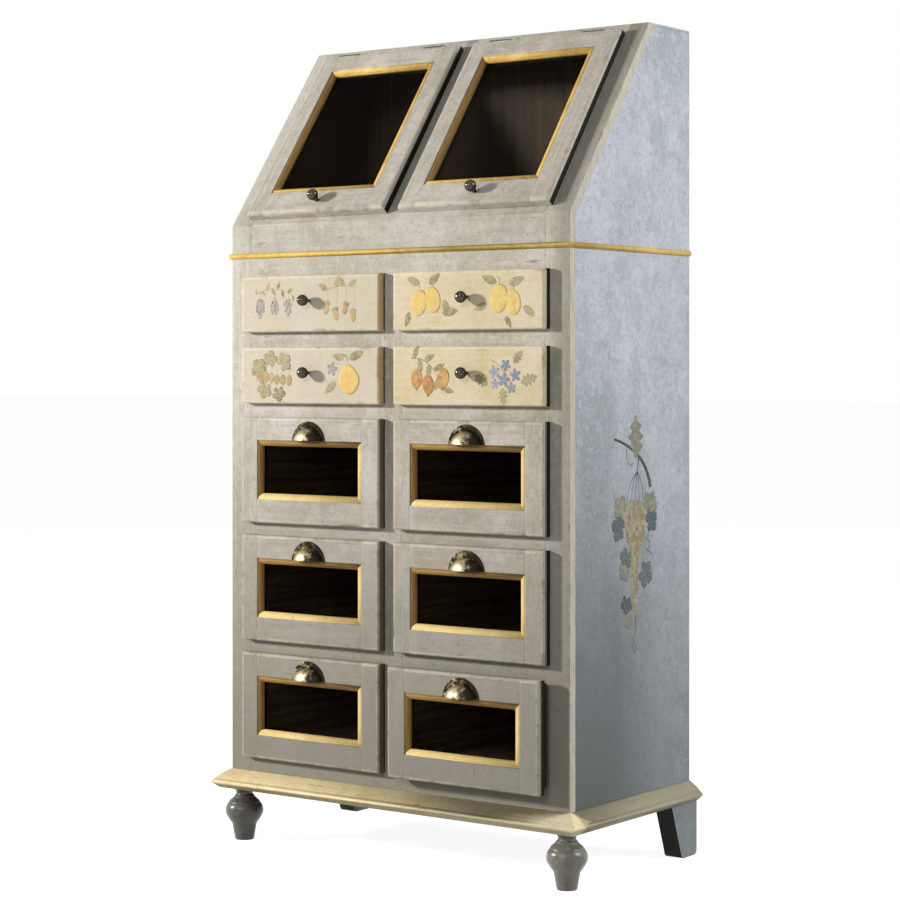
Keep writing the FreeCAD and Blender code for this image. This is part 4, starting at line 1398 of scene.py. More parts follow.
@dataclass
class Spray:
    """Painted leaves, fruit and stems on a board, laid out in millimetres from its middle."""

    name: str
    body: str
    place: Matrix
    finishes: Finishes
    seed: int
    proud: float = 0.12 * MM
    stem_steps: int = 14
    marks: dict[Tint, list[Mark]] = field(default_factory=dict)
    bows: dict[Tint, list[Bow]] = field(default_factory=dict)

    def __post_init__(self) -> None:
        """Start the spray's own random numbers."""
        self.random = random.Random(self.seed)

    def mark(self, tint: Tint, shape: Shape, x: float, z: float, size: float, turn: float = 0.0) -> None:
        """Paint one shape.

        Args:
            tint: Its colour.
            shape: Its shape.
            x: Its place to the right of the middle.
            z: Its place above the middle.
            size: Its length.
            turn: Its turn in degrees, clockwise.
        """
        made = Mark(shape, x * MM, z * MM, size * MM, math.radians(turn))
        self.marks.setdefault(tint, []).append(made)

    def bow(self, tint: Tint, start: tuple[float, float], bend: tuple[float, float], end: tuple[float, float],
            width: float = 1.5) -> Bow:
        """Paint a bent stem.

        Args:
            tint: Its colour.
            start: Where it starts.
            bend: The point that bends it.
            end: Where it ends.
            width: Its width where it starts.

        Returns:
            The stem.
        """
        made = Bow(start, bend, end, width)
        self.bows.setdefault(tint, []).append(made)
        return made

    def leaves(self, tint: Tint, shape: Shape, stem: Bow, shares: Sequence[float], size: float,
               lean: float = 55.0) -> None:
        """Paint leaves along a stem, on its two sides by turns.

        Args:
            tint: Their colour.
            shape: Their shape.
            stem: The stem.
            shares: Their places along it.
            size: Their length.
            lean: How far they lean away from it, in degrees.
        """
        for index, share in enumerate(shares):
            x, z = stem.at(share)
            side = 1 if index % 2 else -1
            turn = math.degrees(stem.heading(share)) + side * (lean + self.random.uniform(-12, 12))
            self.mark(tint, shape, x, z, size * self.random.uniform(0.8, 1.15), turn)

    def bunch(self, tint: Tint, shape: Shape, top: tuple[float, float], counts: Sequence[int], pitch: float,
              size: float) -> None:
        """Paint a hanging bunch, row by row.

        Args:
            tint: Its colour.
            shape: The berries' shape.
            top: The middle of its first row.
            counts: The number of berries in each row.
            pitch: Their distance.
            size: Their length.
        """
        for row, count in enumerate(counts):
            for index in range(count):
                x = top[0] + (index - (count - 1) / 2) * pitch + self.random.uniform(-0.16, 0.16) * pitch
                z = top[1] - row * 0.84 * pitch + self.random.uniform(-0.12, 0.12) * pitch
                self.mark(tint, shape, x, z, size, self.random.uniform(-25, 25))

    def stems(self, bows: Sequence[Bow]) -> bmesh.types.BMesh:
        """Low tapering ribs along the stems.

        Args:
            bows: The stems.

        Returns:
            Their mesh.
        """
        part = bmesh.new()
        rim = part.verts.layers.float.new("rim")
        tone = part.verts.layers.float.new("tone")
        for bow in bows:
            depth = self.random.random()
            rings = []
            for step in range(self.stem_steps + 1):
                share = step / self.stem_steps
                x, z = bow.at(share)
                heading = bow.heading(share)
                half = bow.width / 2 * (1 - 0.55 * share)
                ring = []
                for across, out, edge in ((-1, -0.3, 1), (-1, 0.1, 1), (0, 1, 0), (1, 0.1, 1), (1, -0.3, 1)):
                    reach = across * half
                    point = Vector((x + reach * math.cos(heading), 0.0, z - reach * math.sin(heading))) * MM
                    point.y = -out * self.proud
                    made = part.verts.new(self.place @ point)
                    made[rim] = edge
                    made[tone] = depth
                    ring.append(made)
                rings.append(ring)
            for first, second in zip(rings, rings[1:]):
                for index in range(5):
                    following = (index + 1) % 5
                    part.faces.new([first[index], first[following], second[following], second[index]])
            part.faces.new(rings[0])
            part.faces.new(rings[-1][::-1])
        bmesh.ops.recalc_face_normals(part, faces=part.faces)
        for face in part.faces:
            face.smooth = True
        return part

    def build(self, design: Callable[["Spray"], None]) -> None:
        """Lay the design out and make one piece of each colour.

        Args:
            design: Paints the spray's shapes and stems.
        """
        design(self)
        for number, (tint, marks) in enumerate(self.marks.items()):
            self.finishes.scatter.build(
                f"{self.name}_spray_{tint.value}", self.body, marks, self.place, self.finishes.sprays[tint],
                "ochre_paint", self.proud, 0.08, self.seed + number,
            )
        for tint, bows in self.bows.items():
            part = self.stems(bows)
            name = f"{self.name}_stems_{tint.value}"
            data = bpy.data.meshes.new(name)
            part.to_mesh(data)
            part.free()
            data.materials.append(self.finishes.sprays[tint])
            made = bpy.data.objects.new(name, data)
            bpy.context.scene.collection.objects.link(made)
            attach(made, self.body)
            LOG.info("%s: %d stems on %s", name, len(bows), self.body)


def bilberries_and_acorns(spray: Spray) -> None:
    """Bilberries under a leafy twig, and acorns under oak leaves."""
    twig = spray.bow(Tint.OLIVE, (-152, 20), (-98, 46), (-44, 18), 1.8)
    spray.leaves(Tint.OLIVE, Shape.LEAF, twig, (0.02, 0.16, 0.3, 0.44, 0.58, 0.72, 0.86, 1.0), 17)
    for share, low, counts in ((0.14, 8, (2, 3, 3, 3, 2, 1)), (0.52, 10, (1, 2, 3, 3, 2)), (0.88, 6, (2, 3, 2, 2, 1))):
        x, z = twig.at(share)
        spray.bow(Tint.OLIVE, (x, z), (x + 3, (z + low) / 2), (x, low), 1.0)
        spray.bunch(Tint.VIOLET, Shape.BERRY, (x, low), counts, 8.8, 8.6)
    branch = spray.bow(Tint.OLIVE, (44, 26), (86, 42), (134, 32), 1.8)
    for x, z, turn in ((52, 28, -62), (76, 33, 18), (112, 36, 62), (98, 34, -28)):
        spray.mark(Tint.OLIVE, Shape.OAK_LEAF, x, z, 27, turn)
    for share, x, z, turn in ((0.1, 50, -8, 8), (0.42, 76, -22, -10), (0.68, 102, -10, 14), (0.92, 124, -26, -6)):
        top = branch.at(share)
        spray.bow(Tint.OLIVE, top, ((top[0] + x) / 2 + 6, (top[1] + z) / 2), (x, z + 13), 1.1)
        spray.mark(Tint.BROWN, Shape.ACORN, x, z - 3, 27, turn)
        spray.mark(Tint.OLIVE, Shape.ACORN_CUP, x, z - 2, 27, turn)


def plums_and_leaves(spray: Spray) -> None:
    """Two pairs of yellow plums with long olive leaves."""
    for x, z, size, turn in ((-120, 34, 38, -66), (-96, 34, 40, 52), (-58, 2, 36, 160), (-62, -26, 42, 84),
                             (-146, -22, 34, -160), (76, 34, 38, -70), (106, 30, 42, 70), (52, -8, 34, -112),
                             (142, -14, 34, 128), (98, -34, 30, 150)):
        spray.mark(Tint.OLIVE, Shape.LEAF, x, z, size, turn)
    for x, z, turn, tall in ((-122, -4, 12, 62), (-86, 2, -12, 56), (82, 2, 10, 58), (116, -6, -12, 52)):
        spray.bow(Tint.TWIG, (x - 4, z + tall / 2 + 16), (x + 5, z + tall / 2 + 8), (x, z + tall / 2 - 2), 2.2)
        spray.mark(Tint.YELLOW, Shape.PLUM, x, z, tall, turn)


def gooseberries_and_quince(spray: Spray) -> None:
    """Gooseberries on an arching stem, and a quince with its flower."""
    stem = spray.bow(Tint.OLIVE, (-148, -14), (-116, 58), (-46, 10), 2.0)
    for share, drop in ((0.2, 16), (0.36, 26), (0.52, 34), (0.66, 38), (0.8, 34), (0.94, 26)):
        x, z = stem.at(share)
        spray.bow(Tint.OLIVE, (x, z), (x + 2, z - drop / 2), (x, z - drop + 8), 0.9)
        spray.mark(Tint.BROWN, Shape.PLUM, x, z - drop, 23, 4)
        spray.mark(Tint.OLIVE, Shape.BERRY, x, z - drop - 12, 3.4)
    for x, z, size, turn in ((-140, 14, 40, -40), (-108, 34, 36, 12), (-70, 28, 38, 50), (-124, -30, 38, 200),
                             (-84, -38, 34, 170)):
        spray.mark(Tint.OLIVE, Shape.IVY_LEAF, x, z, size, turn)
    spray.mark(Tint.YELLOW, Shape.QUINCE, 112, -8, 70, -8)
    spray.bow(Tint.TWIG, (94, 46), (112, 42), (108, 26), 2.6)
    spray.mark(Tint.OLIVE, Shape.LEAF, 112, 36, 44, 70)
    spray.mark(Tint.OLIVE, Shape.LEAF, 100, 38, 36, -84)
    spray.mark(Tint.OLIVE, Shape.LEAF, 76, -14, 40, -128)
    spray.mark(Tint.VIOLET, Shape.FLOWER, 66, 14, 28, 12)
    spray.mark(Tint.YELLOW, Shape.BERRY, 66, 14, 6)


def rosehips_and_blue_flowers(spray: Spray) -> None:
    """Rosehips with their leaves, and small blue flowers over round leaves."""
    stem = spray.bow(Tint.TWIG, (-142, 36), (-92, 44), (-58, -28), 2.0)
    for share, x, z, turn in ((0.25, -128, -6, 6), (0.55, -98, -18, -8), (0.8, -60, -6, 16)):
        spray.bow(Tint.TWIG, stem.at(share), (x + 4, z + 24), (x, z + 12), 1.2)
        spray.mark(Tint.ORANGE, Shape.PLUM, x, z, 44, turn)
        spray.mark(Tint.TWIG, Shape.FLOWER, x, z - 22, 8, turn)
    spray.leaves(Tint.OLIVE, Shape.LEAF, stem, (0.05, 0.2, 0.36, 0.5, 0.66, 0.82, 1.0), 30, 62)
    for x, z, size, turn in ((54, -18, 38, -60), (136, -14, 42, 70), (118, 26, 36, 40), (90, -24, 36, 176)):
        spray.mark(Tint.OLIVE, Shape.OAK_LEAF, x, z, size, turn)
    sprig = spray.bow(Tint.OLIVE, (58, 34), (88, 28), (124, -30), 1.8)
    for x, z, size in ((70, 8, 28), (98, 22, 26), (94, -8, 30), (122, 2, 28), (112, -24, 24), (72, -16, 22)):
        spray.bow(Tint.OLIVE, sprig.at(0.5), ((x + 92) / 2, (z + 8) / 2 + 6), (x, z), 0.9)
        spray.mark(Tint.BLUE, Shape.FLOWER, x, z, size, 7 * x)
        spray.mark(Tint.YELLOW, Shape.BERRY, x, z, 4.5)


def hanging_spray(spray: Spray) -> None:
    """A long cluster of golden berries that hangs from a twig between dark leaves."""
    twig = spray.bow(Tint.SIDE_TWIG, (62, 98), (44, 176), (-80, 202), 11.0)
    spray.bow(Tint.SIDE_TWIG, twig.at(0.78), (-38, 140), (-4, 150), 2.4)
    spray.mark(Tint.SIDE_OLIVE, Shape.OAK_LEAF, 6, 160, 92, -2)
    stalk = spray.bow(Tint.SIDE_TWIG, twig.at(0.5), (6, 128), (2, 76), 3.8)
    for reach in (-30, -14, 18, 34):
        spray.bow(Tint.SIDE_TWIG, stalk.at(0.4), (reach, 108), (reach, 62), 2.4)
    for x, z, size, turn in ((-54, 58, 50, -50), (60, 62, 48, 34), (-40, -72, 40, 230), (-26, -176, 34, 176)):
        spray.mark(Tint.SIDE_OLIVE, Shape.IVY_LEAF, x, z, size, turn)
    for x, z, size, turn in ((-60, 18, 52, -74), (62, 28, 50, 62), (-34, -44, 44, 214), (40, -82, 52, 118),
                             (-32, -140, 40, 190)):
        spray.mark(Tint.SIDE_DARK, Shape.IVY_LEAF, x, z, size, turn)
    spray.bunch(Tint.SIDE_GOLD, Shape.PLUM, (2, 66), (4, 6, 6, 7, 7, 6, 6, 5, 4, 4, 3), 12.5, 15.5)
    spray.bunch(Tint.SIDE_GOLD, Shape.PLUM, (0, -48), (3, 3, 3, 2, 3, 3, 2, 3, 2, 2, 2, 1, 2, 1), 10.5, 13.0)
    tendril = [(54, 14), (44, -8), (60, -16), (48, -32), (62, -38), (72, -56)]
    for start, end in zip(tendril, tendril[1:]):
        bend = ((start[0] + end[0]) / 2 + 9, (start[1] + end[1]) / 2 - 6)
        spray.bow(Tint.SIDE_TWIG, start, bend, end, 2.4)
    for start, bend, end in (((0, -160), (8, -190), (-4, -214)), ((-4, -214), (-12, -240), (0, -244)),
                             ((0, -244), (8, -236), (0, -222))):
        spray.bow(Tint.SIDE_TWIG, start, bend, end, 2.6)


DRAWER_DESIGNS: dict[str, Callable[[Spray], None]] = {
    "painted_top_left": bilberries_and_acorns,
    "painted_top_right": plums_and_leaves,
    "painted_lower_left": gooseberries_and_quince,
    "painted_lower_right": rosehips_and_blue_flowers,
}


# Sub-assemblies


@dataclass
class Case:
    """The standing case: boards, face frame, mouldings and feet."""

    finishes: Finishes
    body: str = "cabinet"
    corner_radius: float = 2.5 * MM
    seam: float = 0.25 * MM
    base_ledge: float = 2 * MM
    base_nose: float = 5.5 * MM
    base_nose_place: float = 14 * MM
    base_quirk: float = 0.7 * MM
    base_swell: float = 1.0 * MM
    base_foot_ledge: float = 14 * MM
    spray_place: tuple[float, float] = (0.044, 0.70)
    bulb: float = 42 * MM
    foot_round: float = 22 * MM

    def build(self) -> None:
        """Build every piece of the case."""
        self.panels()
        self.face_frame()
        self.inside()
        self.base_moulding()
        self.waist_bead()
        self.front_feet()
        self.back_feet()

    def panels(self) -> None:
        """Side panels and top board in clouded blue grey."""
        for number, node in enumerate(("side_panel_left", "side_panel_right", "top_board")):
            piece = Joiner(f"{node}_painted", seed=10 + number)
            piece.node(node, mark=self.inner_face)
            piece.finish(self.body, self.finishes.blue, "blue_grey_paint", [node])
        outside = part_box("side_panel_right")[1].x
        place = Matrix.Translation((outside, *self.spray_place)) @ Matrix.Rotation(math.pi / 2, 4, "Z")
        Spray("side_panel_right", self.body, place, self.finishes, 60).build(hanging_spray)

    @staticmethod
    def inner_face(normal: Vector, centre: Vector) -> FaceTone:
        """The tone of a panel's face, dark where it looks into the case.

        Args:
            normal: The face's normal.
            centre: Its centre.

        Returns:
            The face's tone.
        """
        inward = normal.z < -0.9 or normal.x * centre.x < -0.2 * MM
        return FaceTone.BROWN if inward and abs(normal.y) < 0.5 else FaceTone.PAINTED

    def face_frame(self) -> None:
        """Stiles, rails, mullions and fascia, with softened outer corners."""
        low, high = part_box("face_frame")

        def corner(start: Vector, end: Vector) -> float:
            """The rounding of the frame's outer upright corners."""
            outer = min(abs(abs(place.x) - high.x) for place in (start, end)) < MM / 10 and start.x == end.x
            front = all(self.on_outside(place, low, high) for place in (start, end))
            return self.corner_radius if outer and front and abs(start.z - end.z) > 50 * MM else 0.0

        def tone(normal: Vector, centre: Vector) -> FaceTone:
            """The frame's outer side edges are rubbed pale."""
            return FaceTone.PALE if abs(normal.x) > 0.9 and abs(centre.x) > high.x - MM else FaceTone.PAINTED

        def worn(place: Vector) -> float:
            """Edges are worn at the case's corners only."""
            return 1.0 if abs(place.x) > high.x - 4 * MM else 0.0

        piece = Joiner("face_frame_painted", seed=20, ease=0.3 * MM)
        piece.node("face_frame", corner, tone, worn)
        piece.finish(self.body, self.finishes.grey, "grey_paint", ["face_frame"])

    @staticmethod
    def on_outside(place: Vector, low: Vector, high: Vector) -> bool:
        """Whether a corner of the frame lies on its front or on the outside of the slope.

        Args:
            place: The corner.
            low: The frame's lowest corner.
            high: The frame's highest corner.

        Returns:
            True where the corner is on the outer surface.
        """
        if abs(place.y - low.y) < MM / 10:
            return True
        return abs(place.z - high.z) < MM / 10 and place.y < high.y - MM

    def inside(self) -> None:
        """Boards that the drawers run on, and the boards behind and below."""
        piece = Joiner("inner_boards_stained", seed=30)
        piece.node("inner_boards")
        piece.finish(self.body, self.finishes.inner_wood, "bare_wood", ["inner_boards"])
        boards = {"back_panel": self.finishes.back_wood, "bottom_board": self.finishes.inner_wood}
        for number, (node, finish) in enumerate(boards.items()):
            piece = Joiner(f"{node}_stained", seed=31 + number)
            piece.node(node)
            piece.finish(self.body, finish, "bare_wood", [node])

    def run_round(self, name: str, node: str, outline: Outline, wear: Sequence[float], seed: int) -> Joiner:
        """Three strips of one section round the front and sides, mitred in front.

        Args:
            name: The piece's name.
            node: The CAD node whose box gives the strips' place.
            outline: The section as (outward, upward) points from the lower back edge.
            wear: The wear of each point of the section.
            seed: The seed of the boards' grain.

        Returns:
            The piece, not finished yet.
        """
        low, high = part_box(node)
        reach = max(across for across, _ in outline)
        side_x, front_y, back_y = high.x - reach, low.y + reach, high.y
        up = Vector((0, 0, 1))
        piece = Joiner(name, seed=seed)
        corners = [Vector((x, y, low.z)) for x, y in ((-side_x, back_y), (-side_x, front_y), (side_x, front_y), (side_x, back_y))]
        outs = (Vector((-1, 0, 0)), Vector((0, -1, 0)), Vector((1, 0, 0)))
        mitres = ((0.0, 1.0), (1.0, 1.0), (1.0, 0.0))
        for start, end, out, mitre in zip(corners, corners[1:], outs, mitres):
            run = (end - start).normalized()
            first = start + run * (self.seam if mitre[0] else 0.0)
            last = end - run * (self.seam if mitre[1] else 0.0)
            piece.strip(outline, first, last, out, up, mitre, wear)
        return piece

    def base_moulding(self) -> None:
        """The cream moulding that the case stands on."""
        low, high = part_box("base_moulding")
        reach = high.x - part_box("side_panel_right")[1].x
        tall = high.z - low.z
        nose = self.base_nose
        centre = (reach - nose, self.base_nose_place)
        rounded = arc(centre, (nose, nose), -70, 62, 10)
        first = (rounded[-1][0] - self.base_quirk, rounded[-1][1])
        last = (self.base_ledge, tall - 1.2 * MM)
        slope = []
        for step in range(9):
            share = step / 8
            swell = self.base_swell * math.sin(math.pi * share)
            slope.append((first[0] + (last[0] - first[0]) * share + swell, first[1] + (last[1] - first[1]) * share + swell))
        outline = [(0.0, 0.0), (reach - self.base_foot_ledge, 0.0), *rounded, *slope, (0.0, tall)]
        wear = [0.0, 0.2, *[0.9] * 4, *[0.45] * (len(rounded) - 5), 0.8, *[0.25] * (len(slope) - 1), 0.7, 0.5]
        piece = self.run_round("base_moulding_painted", "base_moulding", outline, wear, 40)
        piece.finish(self.body, self.finishes.moulding_cream, "cream_paint", ["base_moulding"])

    def waist_bead(self) -> None:
        """The thin ochre bead between the drawers and the slope."""
        low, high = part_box("waist_bead")
        reach = high.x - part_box("side_panel_right")[1].x
        tall = high.z - low.z
        outline = arc((0.0, tall / 2), (reach, tall / 2), -90, 90, 12)
        wear = [0.7 if 4 <= index <= 8 else 0.3 for index in range(len(outline))]
        piece = self.run_round("waist_bead_painted", "waist_bead", outline, wear, 41)
        piece.finish(self.body, self.finishes.ochre, "ochre_paint", ["waist_bead"])

    def front_feet(self) -> None:
        """Two turned feet with incised rings above the bulb."""
        low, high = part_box("front_feet")
        bulb = self.bulb
        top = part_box("base_moulding")[0].z
        shank = [(0.47, 0.0), (0.50, 0.010), (0.555, 0.115), (0.615, 0.235), (0.650, 0.300)]
        belly = [(0.690, 0.325), (0.790, 0.375), (0.925, 0.455), (0.990, 0.515), (1.0, 0.555), (0.985, 0.600),
                 (0.945, 0.650), (0.860, 0.700)]
        neck = [(0.805, 0.712), (0.812, 0.722), (0.775, 0.742), (0.640, 0.785), (0.560, 0.812)]
        throat = [(0.535, 0.818), (0.542, 0.830), (0.465, 0.856), (0.435, 0.882), (0.455, 0.918), (0.530, 0.962), (0.62, 1.0)]
        outline = []
        for stretch in (shank, belly, neck, throat):
            outline += smooth([(bulb * across, top * height) for across, height in stretch])
        piece = Joiner("front_feet_turned", seed=50)
        for sign in (-1, 1):
            base = Vector((sign * (high.x - bulb), low.y + bulb, 0.0))
            piece.turning(outline, base, Vector((0, 0, 1)), 72, lambda height: 0.8 if 0.6 < height / top < 0.72 else 0.35)
        piece.finish(self.body, self.finishes.foot, "blue_grey_paint", ["front_feet"])

    def back_feet(self) -> None:
        """Two bracket feet cut from thick board."""
        def tone(normal: Vector, centre: Vector) -> FaceTone:
            """The faces that look forward under the case are painted black as shadow."""
            return FaceTone.BLACK if normal.y < -0.5 else FaceTone.PAINTED

        def heel(start: Vector, end: Vector) -> float:
            """The rounding of the edges that stand on the floor."""
            level = abs(start.x - end.x) > 10 * MM
            return self.foot_round if level and max(start.z, end.z) < MM / 10 else 0.0

        piece = Joiner("back_feet_painted", ease=1.2 * MM, seed=51)
        piece.node("back_feet", heel, tone)
        piece.finish(self.body, self.finishes.blue, "blue_grey_paint", ["back_feet"])


def black_reach(name: str) -> float:
    """How far a front's side edge is painted black from behind as shadow in the gap, more in the right-hand column."""
    return (3 if name.endswith("left") else 12) * MM


@dataclass
class GlazedFrame:
    """A framed pane: four members, an ochre window moulding and the glass."""

    name: str
    body: str
    front_node: str
    finishes: Finishes
    stand: Stand = Stand()
    seed: int = 0
    round_over: float = 8.0 * MM
    moulding_width: float = 13 * MM
    lip: float = 3 * MM
    seam: float = 0.15 * MM

    def build(self) -> None:
        """Build the frame, its moulding and its glass."""
        self.members()
        self.moulding()
        dress(f"{self.name}_glass", self.finishes.glass)

    def members(self) -> None:
        """Stiles and rails with a rounded outer front edge, and side edges in painted shade."""
        low, high = self.stand.box(self.front_node)

        def outer(start: Vector, end: Vector) -> float:
            """The rounding of the front's outer edges."""
            if max(abs(place.y - low.y) for place in (start, end)) > MM / 10:
                return 0.0
            upright = any(all(abs(place.x - x) < MM / 10 for place in (start, end)) for x in (low.x, high.x))
            level = any(all(abs(place.z - z) < MM / 10 for place in (start, end)) for z in (low.z, high.z))
            return self.round_over if upright or level else 0.0

        def tone(normal: Vector, centre: Vector) -> FaceTone:
            """The frame's outer sides are in dark grey painted shade, and painted black towards the case as shadow in
            the gap; a flap's sides are black all over.
            """
            if abs(normal.x) < 0.99 or min(abs(centre.x - low.x), abs(centre.x - high.x)) > MM / 10:
                return FaceTone.PAINTED
            black = self.stand.lean or centre.y > high.y - black_reach(self.name)
            return FaceTone.BLACK if black else FaceTone.SMOKED

        def worn(place: Vector) -> float:
            """Edges are worn round the outside only; the right edge gets half the pale rub, which leaves it darker as
            painted shade.
            """
            reach = self.round_over + MM
            inside_z = low.z + reach < place.z < high.z - reach
            if place.x > high.x - reach and inside_z:
                return 0.5
            return 0.0 if place.x > low.x + reach and inside_z else 1.0

        piece = Joiner(f"{self.front_node}_painted", self.stand, ease=0.3 * MM, seed=self.seed)
        piece.node(self.front_node, outer, tone, worn)
        piece.finish(self.body, self.finishes.grey, "grey_paint", [self.front_node])

    def moulding(self) -> None:
        """The moulding round the window, and the strips that hold the pane from behind."""
        node = f"{self.name}_moulding"
        low, high = self.stand.box(node)
        glass_low, _ = self.stand.box(f"{self.name}_glass")
        deep = glass_low.y - low.y
        width = self.moulding_width
        flat, step = 2.0 * MM, 0.8 * MM
        sweep = arc((flat + step, deep - self.lip), (width - flat - step - 0.6 * MM, deep - self.lip - step), 90, 0, 8)
        outline = [(0.0, 0.0), (0.0, deep), (flat, deep), (flat + step, deep - step)]
        outline += [(across, height) for across, height in sweep[1:]]
        outline += [(width, deep - self.lip - 0.5 * MM), (width, 0.0)]
        wear = [0.0, 0.9, 0.8, 0.6, *[0.25] * (len(sweep) - 1), 0.9, 0.2]
        back = glass_low.y
        corners = [Vector((x, back, z)) for x, z in ((low.x, low.z), (high.x, low.z), (high.x, high.z), (low.x, high.z))]
        inward = (Vector((0, 0, 1)), Vector((-1, 0, 0)), Vector((0, 0, -1)), Vector((1, 0, 0)))
        # The left strip, and on the drawers the top strip, are painted brown as shade, since they turn from the light.
        top_tone = FaceTone.PAINTED if self.stand.lean else FaceTone.BROWN
        tones = (FaceTone.PAINTED, FaceTone.PAINTED, top_tone, FaceTone.BROWN)
        piece = Joiner(f"{node}_painted", self.stand, seed=self.seed + 1, rim=2 * MM)
        for index, out in enumerate(inward):
            start, end = corners[index], corners[(index + 1) % 4]
            run = (end - start).normalized() * self.seam
            piece.strip(outline, start + run, end - run, out, Vector((0, -1, 0)), (-1.0, -1.0), wear, tones[index])
        # The strips that hold the pane from behind are painted black as shade seen through the glass.
        piece.node(node, mark=lambda normal, centre: FaceTone.BLACK, keep=lambda solid: solid.box()[0].y > back)
        piece.finish(self.body, self.finishes.ochre, "ochre_paint", [node])


@dataclass
class DrawerBox:
    """The open box behind a drawer's front."""

    name: str
    finishes: Finishes
    front_back_y: float
    seed: int = 0

    def build(self, replaces: Sequence[str]) -> None:
        """Build the sides, back and bottom.

        Args:
            replaces: The CAD nodes that the box stands for.
        """
        piece = Joiner(f"{self.name}_carcass", seed=self.seed)
        piece.node(f"{self.name}_box", keep=lambda solid: solid.box()[0].y > self.front_back_y - MM / 10)
        piece.finish(self.name, self.finishes.wood, "bare_wood", replaces)


